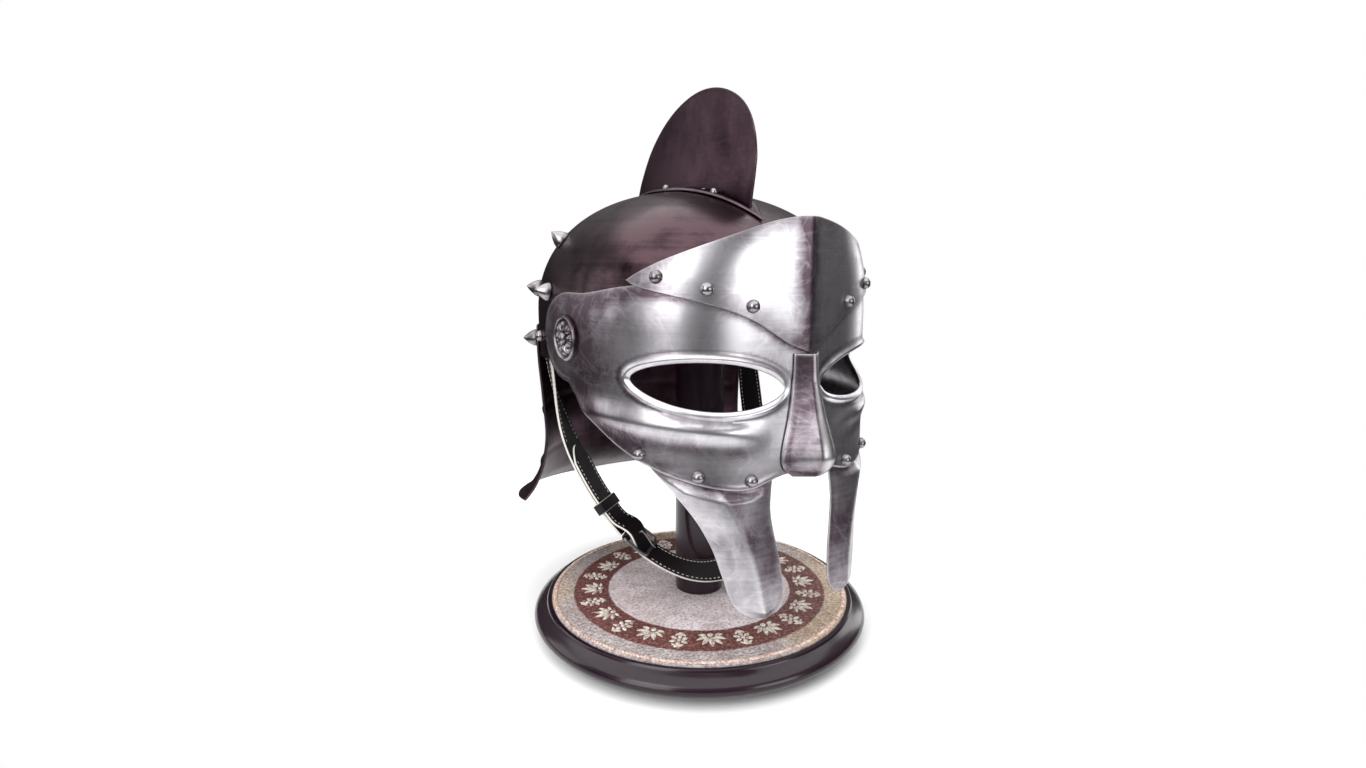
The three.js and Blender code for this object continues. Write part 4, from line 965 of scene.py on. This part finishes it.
BAR_AT = BUCKLE_ALONG * ROUTE_LENGTH
BAR_OUT = 2.2
BAR_DEPTH = 0.85 * ROD
SLEEVE = math.hypot(ROD, BAR_DEPTH) + SEAT_GAP
FRAME_HALF = STRAP_WIDE / 2 + 0.8 + 2 * ROD
LIFT_BAR = BAR_OUT + SLEEVE + FOLD + SEAT_GAP + LEATHER / 2
LIFT_STRAP = LEATHER + SEAT_GAP
FAR_EDGE = BAR_AT + BUCKLE_LENGTH
TIP_END = BAR_AT - TIP_LENGTH
FAR_OUT = LEATHER / 2 + 0.5 + ROD + SEAT_GAP
TILT = math.atan2(FAR_OUT - BAR_OUT, BUCKLE_LENGTH)
PRONG_HOLE = BAR_AT + SLEEVE + FOLD + PRONG + SEAT_GAP + 0.9
LIFTS = [
    (BAR_AT - 1.85 * LIFT_RUN, LIFT_STRAP), (BAR_AT - LIFT_RUN, LIFT_STRAP + STRAP_CLEAR),
    (BAR_AT - 0.3 * LIFT_RUN, LIFT_BAR), (BAR_AT + 0.2 * LIFT_RUN, LIFT_BAR),
    (FAR_EDGE - 0.36 * LIFT_RUN, STRAP_CLEAR), (FAR_EDGE, 0),
]
BAR_PLACE, _, BAR_ACROSS, _ = strap_frame(BAR_AT)
BAR_ALONG = unit(on_route(FAR_EDGE) - BAR_PLACE)
BAR_ACROSS = unit(BAR_ACROSS - BAR_ALONG * (BAR_ACROSS @ BAR_ALONG))
BAR_UP = np.cross(BAR_ALONG, BAR_ACROSS)
BAR_PLACE = BAR_PLACE + BAR_UP * BAR_OUT


def on_buckle(along, across, out):
    return BAR_PLACE + BAR_ALONG * along + BAR_ACROSS * across + BAR_UP * out


def level(d):
    return 0.0


def full_half(d):
    return STRAP_WIDE / 2


def tip_lift(d):
    return float(through(LIFTS, d))


def tip_half(d):
    share = min(max((d - TIP_END) / POINT_LENGTH, 0), 1)
    return STRAP_WIDE / 2 * max(math.sqrt(share), 0.08)


def leather_object(name, points, faces, cut_edge_and_sheen, node=None):
    """A leather piece whose trimmed edges are marked pale, as the leather's own edge and as a painted
    highlight.
    """
    attribute(mesh_object(name, points, faces, black_leather, node), "cut_edge_and_sheen", cut_edge_and_sheen)


def ribbon(name, node, distances, lift, half):
    """A leather strap along the route, its edges rounded."""
    h, r = LEATHER / 2, 0.35
    points, cut_edge_and_sheen = [], []
    for d in distances:
        w = half(d)
        cross = [(a * (w - r), h, 0.0) for a in np.linspace(-1, 1, 7)]
        # The third number of each point paints the edge pale, as cut leather and as a painted highlight.
        cross += [(w - 0.1, h - 0.12, 0.3), (w, h - r, 1.0), (w, r - h, 1.0), (w - 0.1, 0.12 - h, 0.3)]
        cross += [(-a, -o, pale) for a, o, pale in cross]
        at, _, across, out = strap_frame(d)
        points.extend(at + across * a + out * (lift(d) + o) for a, o, _ in cross)
        cut_edge_and_sheen.extend(pale for _, _, pale in cross)
    leather_object(name, points, loft_faces(len(distances), len(cross)), cut_edge_and_sheen, node)


def build_sleeve():
    """The leather folded round the buckle's bar, in two halves beside the prong."""
    turns, gap = circle(32), PRONG + 2 * SEAT_GAP
    points, faces = [], []
    for low, high in ((-STRAP_WIDE / 2, -gap), (gap, STRAP_WIDE / 2)):
        faces += loft_faces(len(turns), 4, True, len(points))
        cross = (low, SLEEVE), (high, SLEEVE), (high, SLEEVE + FOLD), (low, SLEEVE + FOLD)
        points.extend(on_buckle(radius * c, a, radius * s) for c, s in turns for a, radius in cross)
    leather_object("strap_fold", points, faces, np.zeros(len(points)))


def corner_arcs(corners, steps):
    """Centres and directions round a rectangle's corners, given as (x, y, first angle, radius)."""
    for x, y, base, r in corners:
        cx, cy = x - r * (1 if x > 0 else -1), y - r * (1 if y > 0 else -1)
        for k in range(steps + 1):
            turn = math.radians(base + 90 * k / steps)
            yield cx, cy, math.cos(turn), math.sin(turn)


def build_keeper():
    at, along, across, out = strap_frame(BAR_AT - KEEPER_FROM_BAR)
    wide = STRAP_WIDE / 2 + 2 * STRAP_CLEAR
    low, high = -LEATHER / 2 - 2 * STRAP_CLEAR, LIFT_STRAP + LEATHER / 2 + 2 * STRAP_CLEAR
    r, skin = KEEPER_CORNER, KEEPER_CORNER + KEEPER_LEATHER
    corners = [(wide, high, 0, r), (-wide, high, 90, r), (-wide, low, 180, r), (wide, low, 270, r)]
    # The third number paints the keeper's edges pale, as cut leather and as a painted highlight.
    cross = [(0.0, r, 1.0), (0.0, skin, 1.0), (0.5, skin + 0.12, 0.0)]
    cross += [(KEEPER_WIDE - 0.5, skin + 0.12, 0.0), (KEEPER_WIDE, skin, 1.0), (KEEPER_WIDE, r, 1.0)]
    points, cut_edge_and_sheen = [], []
    for cx, cy, dx, dy in corner_arcs(corners, 5):
        for run, reach, pale in cross:
            points.append(at + along * run + across * (cx + dx * reach) + out * (cy + dy * reach))
            cut_edge_and_sheen.append(pale)
    faces = loft_faces(len(points) // len(cross), len(cross), True)
    leather_object("keeper_loop", points, faces, cut_edge_and_sheen, "strap_keeper")


def build_buckle():
    far, half = BUCKLE_LENGTH, FRAME_HALF - ROD
    path = []
    corners = (far, half, 0, 4.0), (0.0, half, 90, 1.6), (0.0, -half, 180, 1.6), (far, -half, 270, 4.0)
    for x, y, base, r in corners:
        cx, cy = x + (-r if x > 1 else r), y - r * np.sign(y)
        for k in range(9):
            turn = math.radians(base + 11.25 * k)
            path.append((cx + r * math.cos(turn), cy + r * math.sin(turn)))
    tilted = [on_buckle(x * math.cos(TILT), y, x * math.sin(TILT)) for x, y in path]
    rods = [ROD] * len(path)
    swept("buckle_ring", tilted, rods, stud_steel, BAR_UP, "buckle_frame", closed=True, flat=0.85)
    over_far = FAR_OUT + BAR_DEPTH + PRONG + SEAT_GAP - BAR_OUT
    over_strap = LIFT_BAR + LEATHER / 2 + PRONG + SEAT_GAP - BAR_OUT
    hole, middle = PRONG_HOLE - BAR_AT, SLEEVE + FOLD / 2
    line = centripetal([
        (middle, 0), (hole - 0.4, 1.4), (hole, over_strap - 1.6), (hole + 1.6, over_strap + 0.4),
        (BUCKLE_LENGTH - 1, over_far + 0.3), (BUCKLE_LENGTH + 2.4, over_far + 0.1),
    ], 12)
    radii = PRONG * (1 - 0.35 * np.linspace(0, 1, len(line)) ** 2)
    radii[-1] *= 0.5
    wire = [on_buckle(a, 0, o) for a, o in line]
    swept("prong_wire", wire, radii, stud_steel, BAR_ACROSS, "buckle_prong")
    ring = [on_buckle(middle * c, 0, middle * s) for c, s in circle(36)]
    swept("prong_eye", ring, [FOLD / 2] * len(ring), stud_steel, BAR_ACROSS, closed=True)


def build_stitches():
    keeper = BAR_AT - KEEPER_FROM_BAR
    rows = (
        (4, TIP_END - 4, level, full_half, (-1, 1)),
        (TIP_END, BAR_AT - 8, level, full_half, (-1,)),
        (TIP_END + POINT_LENGTH, keeper - 2, tip_lift, tip_half, (1,)),
        (keeper + KEEPER_WIDE + 3, BAR_AT - 5, tip_lift, tip_half, (1,)),
        (FAR_EDGE + 6, ROUTE_LENGTH - 4, tip_lift, tip_half, (-1, 1)),
    )
    places = []
    for start, end, lift, half, faces_out in rows:
        for d in np.arange(start, end, STITCH_PITCH):
            at, *directions = strap_frame(d)
            for side in (-1, 1):
                edge = at + directions[1] * side * (half(d) - STITCH_IN)
                for face in faces_out:
                    rise = lift(d) + face * (LEATHER / 2 + 0.02)
                    places.append((edge + directions[2] * rise, *directions))
    bead_row("strap_stitches", places, STITCH_SIZE, thread)


def build_holes():
    """Punched holes of the long end, as dark rims sunk at its face, save under the keeper."""
    keeper = BAR_AT - KEEPER_FROM_BAR + KEEPER_WIDE / 2
    places = [PRONG_HOLE - k * HOLE_PITCH for k in (2, 3, 4)]
    for number, d in enumerate(d for d in places if abs(d - keeper) >= KEEPER_WIDE):
        at, along, across, out = strap_frame(d)
        centre = at + out * (tip_lift(d) + LEATHER / 2)
        ring = [centre + along * HOLE * c + across * HOLE * s for c, s in circle(24)]
        rims = [HOLE_RIM] * len(ring)
        swept(f"strap_hole_{number + 1}", ring, rims, black_leather, out, sides=8, closed=True)


short_places = np.linspace(0, BAR_AT - SLEEVE - FOLD, 110)
ribbon("strap_upper_right", "strap_buckle_end", short_places, level, full_half)
tip_places = TIP_END + POINT_LENGTH * np.linspace(0, 1, 14) ** 2
long_places = np.concatenate([tip_places, np.linspace(tip_places[-1], ROUTE_LENGTH, 220)[1:]])
ribbon("strap_long_end", "strap_tip_end", long_places, tip_lift, tip_half)
build_sleeve()
build_keeper()
build_buckle()
build_stitches()
build_holes()

# Studs and temple bosses: angles of the rows, and (angle, share of the crown's height) on the bowl
STUD, SMALL_STUD, LARGE_STUD, LARGE_STUD_HIGH, STUD_SIDES = 4.5, 3.2, 7.0, 11.0, 28
BROW_STUDS, CHEEK_STUDS, SADDLE_STUDS = (21, 35, 49), (22, 38, 54), (-0.62, 0, 0.62)
BOWL_STUDS = [(101, 0.42), (125, 0.42), (150, 0.42), (112, 0.71), (147, 0.71)]
NECK_STUDS = 7
BOSS_RADIUS, BOSS_FACE, BOSS_KNOB, BOSS_PETALS = 17.0, 1.7, 4.4, 8


def stud_profile(r, high, pointed):
    t = np.linspace(0, 1, 12)[:-1]
    if pointed:
        wide, up = (1 - 0.1 * t) * (1 - t**1.5) ** 0.85, 0.08 + 0.92 * t
    else:
        wide, up = 0.93 * np.cos(np.pi / 2 * t), 0.16 + 0.84 * np.sin(np.pi / 2 * t)
    foot = [(0, 0), (r, 0), (r, 0.05 * high), (0.985 * r, 0.08 * high)]
    return [*foot, *zip(r * wide, high * up), (0, high)]


def rivet(node, at, normal, r, high, pointed=False):
    """A turned stud in place of a node, with patina round its foot."""
    points, faces = lathe(stud_profile(r, high, pointed), STUD_SIDES)
    patina_and_shade = 0.7 * np.maximum(1 - points[:, 2] / (0.35 * high), 0)
    name = node.replace("_stud", "_rivet")
    attribute(mesh_object(name, seated(points, at, normal), faces, stud_steel, node), "patina_and_shade", patina_and_shade)


def stud_on(node, surface, angle, z, lift=0.0, large=False):
    n = normals(surface, angle, z)
    size = (LARGE_STUD, LARGE_STUD_HIGH, True) if large else (STUD, STUD)
    rivet(node, surface(angle, z) + n * (lift + SEAT_GAP), n, *size)


def build_studs(name, sign):
    stud_on(f"strap_stud_{name}", bowl_point, sign * STRAP_ANGLE, EYE_Z + STRAP_TOP_UP)
    for i, angle in enumerate(BROW_STUDS):
        z = brow_edge(angle, BROW_LOW) + 2 * STUD
        stud_on(f"brow_stud_{name}_{i + 1}", face_point, sign * angle, z, FACE_OFF)
    for i, angle in enumerate(CHEEK_STUDS):
        z = face_edge(angle, FACE_LOW, -1) + CHEEK_OVER / 2
        stud_on(f"cheek_stud_{name}_{i + 1}", face_point, sign * angle, z)
    for i, along in enumerate(SADDLE_STUDS):
        x = sign * (SADDLE_HALF * (1 - along**2) - 1.35 * SMALL_STUD)
        y = CREST_MIDDLE + along * CREST_LENGTH / 2
        n = crown_point(x, y, 1) - crown_point(x, y, 0)
        at = crown_point(x, y, FACE_OFF + SEAT_GAP)
        rivet(f"saddle_stud_{name}_{i + 1}", at, n, SMALL_STUD, SMALL_STUD)
    for i, (angle, up) in enumerate(BOWL_STUDS):
        stud_on(f"bowl_stud_{name}_{i + 1}", bowl_point, sign * angle, EYE_Z + CROWN_UP * up, large=True)


def build_boss(name, sign):
    """A round boss with a petal rosette inside a raised rim."""
    rows, columns = 46, 144
    rim = [BOSS_RADIUS - 0.2, BOSS_RADIUS, BOSS_RADIUS]
    r = np.concatenate([np.linspace(0.3, BOSS_RADIUS - 0.6, rows - 3), rim])
    rr, pp = np.meshgrid(r, np.linspace(0, 2 * np.pi, columns, endpoint=False))
    run = np.clip((rr - BOSS_KNOB) / 8.4, 0, 1)
    leaf = np.abs(np.cos(BOSS_PETALS * pp / 2))
    petal = 2.4 * np.sin(np.pi * run) ** 0.7 * leaf**0.6 * (1 - 0.35 * (leaf > 0.985))
    knob = 3.0 + 3.4 * np.sqrt(np.clip(1 - (rr / BOSS_KNOB) ** 2, 0, 1))
    high = np.where(rr < BOSS_KNOB, knob, BOSS_FACE + petal + 1.4 * bump(rr, 15.2, 1.9))
    high[:, -2:] = 1.6, 0.0
    patina_and_shade = np.clip(1.0 - (high - BOSS_FACE) / 1.4, 0, 1)
    patina_and_shade[:, -1] = 0.6
    body = np.stack([rr * np.cos(pp), rr * np.sin(pp), high], -1).reshape(-1, 3)
    points = np.concatenate([[(0, 0, 6.4), (0, 0, 0)], body])
    faces = [(f[0], *f[:0:-1]) for f in lathe_faces(columns, rows)]
    out = normals(face_point, sign * BOSS_ANGLE, BOSS_Z)
    points = seated(points, face_point(sign * BOSS_ANGLE, BOSS_Z) + out * SEAT_GAP, out)
    obj = mesh_object(f"boss_rosette_{name}", points, faces, stud_steel, f"temple_boss_{name}")
    attribute(obj, "patina_and_shade", np.concatenate([[0, 0.6], patina_and_shade.ravel()]))


build_studs("right", -1)
build_studs("left", 1)
for i, along in enumerate(np.linspace(-1, 1, NECK_STUDS)):
    place = 180 + along * (NECK_SPAN - 9), NECK_TOP - NECK_OVER / 2
    stud_on(f"neck_stud_{i + 1}", neck_point, *place, large=True)
build_boss("right", -1)
build_boss("left", 1)

# Stand
PLINTH_RADIUS, PLINTH_HIGH, PLINTH_FOOT = 140.0, 25.0, 124.0
DISC_RADIUS, DISC_THICK, DISC_RECESS, HEAD_REST, REST_DEPTH = 125.0, 3.2, 2.0, 46.0, 62.0
DISC_BASE = PLINTH_HIGH - DISC_RECESS + SEAT_GAP
DISC_TOP = DISC_BASE + DISC_THICK
LATHE_SIDES, POST_SIDES = 192, 96


def build_stand():
    lip, h, grow = DISC_RADIUS + SEAT_GAP, PLINTH_HIGH, PLINTH_RADIUS - PLINTH_FOOT
    nose = centripetal([
        (PLINTH_FOOT + 2, 0.235 * h), (PLINTH_FOOT + 0.62 * grow, 0.28 * h), (PLINTH_RADIUS - 1.4, 0.4 * h),
        (PLINTH_RADIUS, 0.53 * h), (PLINTH_RADIUS - 1.4, 0.68 * h), (PLINTH_RADIUS - 5.5, 0.82 * h),
        (lip + 4.2, 0.93 * h),
    ], 8)
    plinth = [
        (0, 0), (PLINTH_FOOT - 1, 0), (PLINTH_FOOT, 0.6), (PLINTH_FOOT, 0.22 * h), *nose,
        (lip + 3.6, 0.985 * h), (lip + 3.2, h), (lip + 0.5, h), (lip, h - 0.5), (lip, h - DISC_RECESS),
        (0, h - DISC_RECESS),
    ]
    mesh_object("plinth_turned", *lathe(plinth, LATHE_SIDES), ebonised_wood, "stand_plinth")
    disc = [
        (0, DISC_BASE), (DISC_RADIUS, DISC_BASE), (DISC_RADIUS, DISC_TOP - 0.6),
        (DISC_RADIUS - 0.25, DISC_TOP - 0.2), (DISC_RADIUS - 0.7, DISC_TOP), (0, DISC_TOP),
    ]
    mesh_object("disc_cast", *lathe(disc, LATHE_SIDES), stone_disc, "stand_disc")
    inner = [size - BOWL_STEEL for size in (BOWL_WIDE, BOWL_FRONT, BOWL_BACK)]
    crown = bowl_height(0.0, CENTRE_Y) - BOWL_STEEL
    head = []
    for r in np.linspace(HEAD_REST, 0, 14):
        x, y = r * np.array(circle(4)).T
        under = WALL_Z + (crown - WALL_Z) * dome_curve(plan_share(x, y - CENTRE_Y, *inner))
        head.append((r, under.min() - PLATE_GAP - SEAT_GAP - 0.02 * r))
    low, rim, flare = DISC_TOP + SEAT_GAP, head[0][1], HEAD_REST - POST_RADIUS
    neck = centripetal([
        (POST_RADIUS, rim - REST_DEPTH), (POST_RADIUS + 0.12 * flare, rim - 0.65 * REST_DEPTH),
        (POST_RADIUS + 0.46 * flare, rim - 0.36 * REST_DEPTH), (HEAD_REST, rim - 0.15 * REST_DEPTH),
    ], 10)
    post = [(0, low), (POST_RADIUS - 0.6, low), (POST_RADIUS, low + 0.6), *neck, *head]
    mesh_object("post_turned", *lathe(post, POST_SIDES), ebonised_wood, "stand_post")


# Inlay: palmette petals as (spin, length, width), and the height of each ring from a shape's middle out
PALMETTE = (
    (0, 13, 4.2), (27, 12, 3.8), (-27, 12, 3.8), (56, 10, 3.3), (-56, 10, 3.3),
    (88, 6.5, 2.7), (-88, 6.5, 2.7),
)
INLAY_COUNT, INLAY_RADIUS = 24, 92.5
INLAY_RINGS = ((0.45, 0.95), (0.75, 0.75), (1.0, 0.3), (1.0, -0.2))
ROPE_BEADS, ROPE_RADIUS, ROPE_SIZE = 260, 122.4, (2.3, 1.15, 0.9)


def petal_outline(length, wide, root=0.0, steps=11):
    """A teardrop that starts at its root and swells towards its tip."""
    t = np.linspace(0, 1, steps)
    right = np.stack([wide / 2 * np.sin(np.pi * t**0.8) ** 0.75, length * t], 1)
    return np.concatenate([right, (right * [-1, 1])[1:-1][::-1]]) + [0, root]


def build_inlay():
    """Palmettes and rosettes, in turn, on the disc's brown band, laid a hair proud of it."""
    knob = np.array(circle(14))[:, ::-1]
    palmette = [(petal_outline(length, wide, 3.6), spin, 0, -8.0) for spin, length, wide in PALMETTE]
    palmette.append((2.4 * knob, 0, 0, -8.0))
    rosette = [(petal_outline(5.6, 3.4, 2.2), 60 * k, 0, 0.5) for k in range(6)] + [(1.6 * knob, 0, 0, 0.5)]
    for side in (-1, 1):
        for spin, y in ((125, -5.5), (55, 6.5)):
            rosette.append((petal_outline(8, 2.2), side * spin, side * 4.5, y))
    points, faces = [], []
    for number in range(INLAY_COUNT):
        for outline, spin, x, y in (rosette if number % 2 else palmette):
            c, s = math.cos(math.radians(spin)), math.sin(math.radians(spin))
            moved = outline @ np.array([[c, s], [-s, c]]) + [x, y]
            turn = 2 * math.pi * number / INLAY_COUNT + moved[:, 0] / INLAY_RADIUS
            radius = INLAY_RADIUS + moved[:, 1]
            shape = np.stack([radius * np.sin(turn), -radius * np.cos(turn)], 1)
            start, n, centre = len(points), len(shape), shape.mean(axis=0)
            for share, rise in INLAY_RINGS:
                points.extend((*p, DISC_TOP + rise) for p in centre + share * (shape - centre))
            faces += [(f[0], *f[:0:-1]) for f in loft_faces(len(INLAY_RINGS), n, start=start)[:-2]]
            faces.append(tuple(range(start, start + n)))
    mesh_object("disc_ornament", points, faces, disc_inlay)
    rope = []
    for c, s in circle(ROPE_BEADS):
        slant = unit(np.array([0.75 * c - s, 0.75 * s + c, 0]))
        at = (ROPE_RADIUS * c, ROPE_RADIUS * s, DISC_TOP + 0.25)
        rope.append((np.array(at), slant, np.cross([0, 0, 1], slant), (0, 0, 1)))
    bead_row("disc_rope", rope, ROPE_SIZE, rope_stone)


build_stand()
build_inlay()

# Studio: each light as (place, target, size, power)
FLOOR_RADIUS, FLOOR_SIDES = 0.45, 96
LIGHTS = {
    "front": ((0.3, -1.6, 0.36), (0, 0, 0.24), (0.8, 0.5), 6.0),
    "side": ((-1.2, -0.5, 0.7), (0, 0, 0.25), (0.75, 1.1), 11),
    "behind": ((-1.15, 0.95, 0.6), (0, 0, 0.25), (0.9, 0.9), 4.5),
    "far": ((1.35, 0.1, 0.45), (0, 0, 0.25), (0.3, 0.9), 3),
}
SUN_POWER, SUN_ANGLE = 3.0, math.radians(100)
HORIZON, ZENITH, SKY_POWER = (0.1, (0.03, 0.028, 0.032)), (0.8, (0.7, 0.7, 0.7)), 0.7

floor_mesh = bpy.data.meshes.new("floor")
floor_rim = [(FLOOR_RADIUS * c, FLOOR_RADIUS * s, 0) for c, s in circle(FLOOR_SIDES)]
floor_mesh.from_pydata(floor_rim, [], [tuple(range(FLOOR_SIDES))])
floor_mesh.materials.append(Look("floor_white").give(Base_Color=(0.93, 0.93, 0.93), Roughness=0.9))
placed("floor", floor_mesh)

for light_name, (place, target, size, power) in LIGHTS.items():
    data = bpy.data.lights.new(light_name, "AREA")
    data.shape = "RECTANGLE"
    data.size, data.size_y = size
    data.energy = power
    lamp = placed(light_name, data)
    lamp.location = place
    lamp.rotation_euler = (Vector(target) - Vector(place)).to_track_quat("-Z", "Y").to_euler()
    lamp.visible_camera = False

sun = placed("overhead", bpy.data.lights.new("overhead", "SUN"))
sun.data.energy = SUN_POWER
sun.data.angle = SUN_ANGLE

# The world lights the steel from above and shows plain white behind the object
world = bpy.data.worlds.new("studio")
bpy.context.scene.world = world
world.use_nodes = True
world.node_tree.nodes.clear()
sky = Nodes(world.node_tree)
height = sky.node("SeparateXYZ", Vector=sky.node("TexCoord").outputs["Generated"]).outputs["Z"]
lit = sky.node("Background", Color=sky.ramp(height, HORIZON, ZENITH), Strength=SKY_POWER)
seen = sky.node("Background", Color=(1, 1, 1))
pick = sky.node("MixShader", Fac=sky.node("LightPath").outputs["Is Camera Ray"])
sky.put(pick.inputs[1], lit.outputs[0])
sky.put(pick.inputs[2], seen.outputs[0])
sky.node("OutputWorld", Surface=pick.outputs[0])
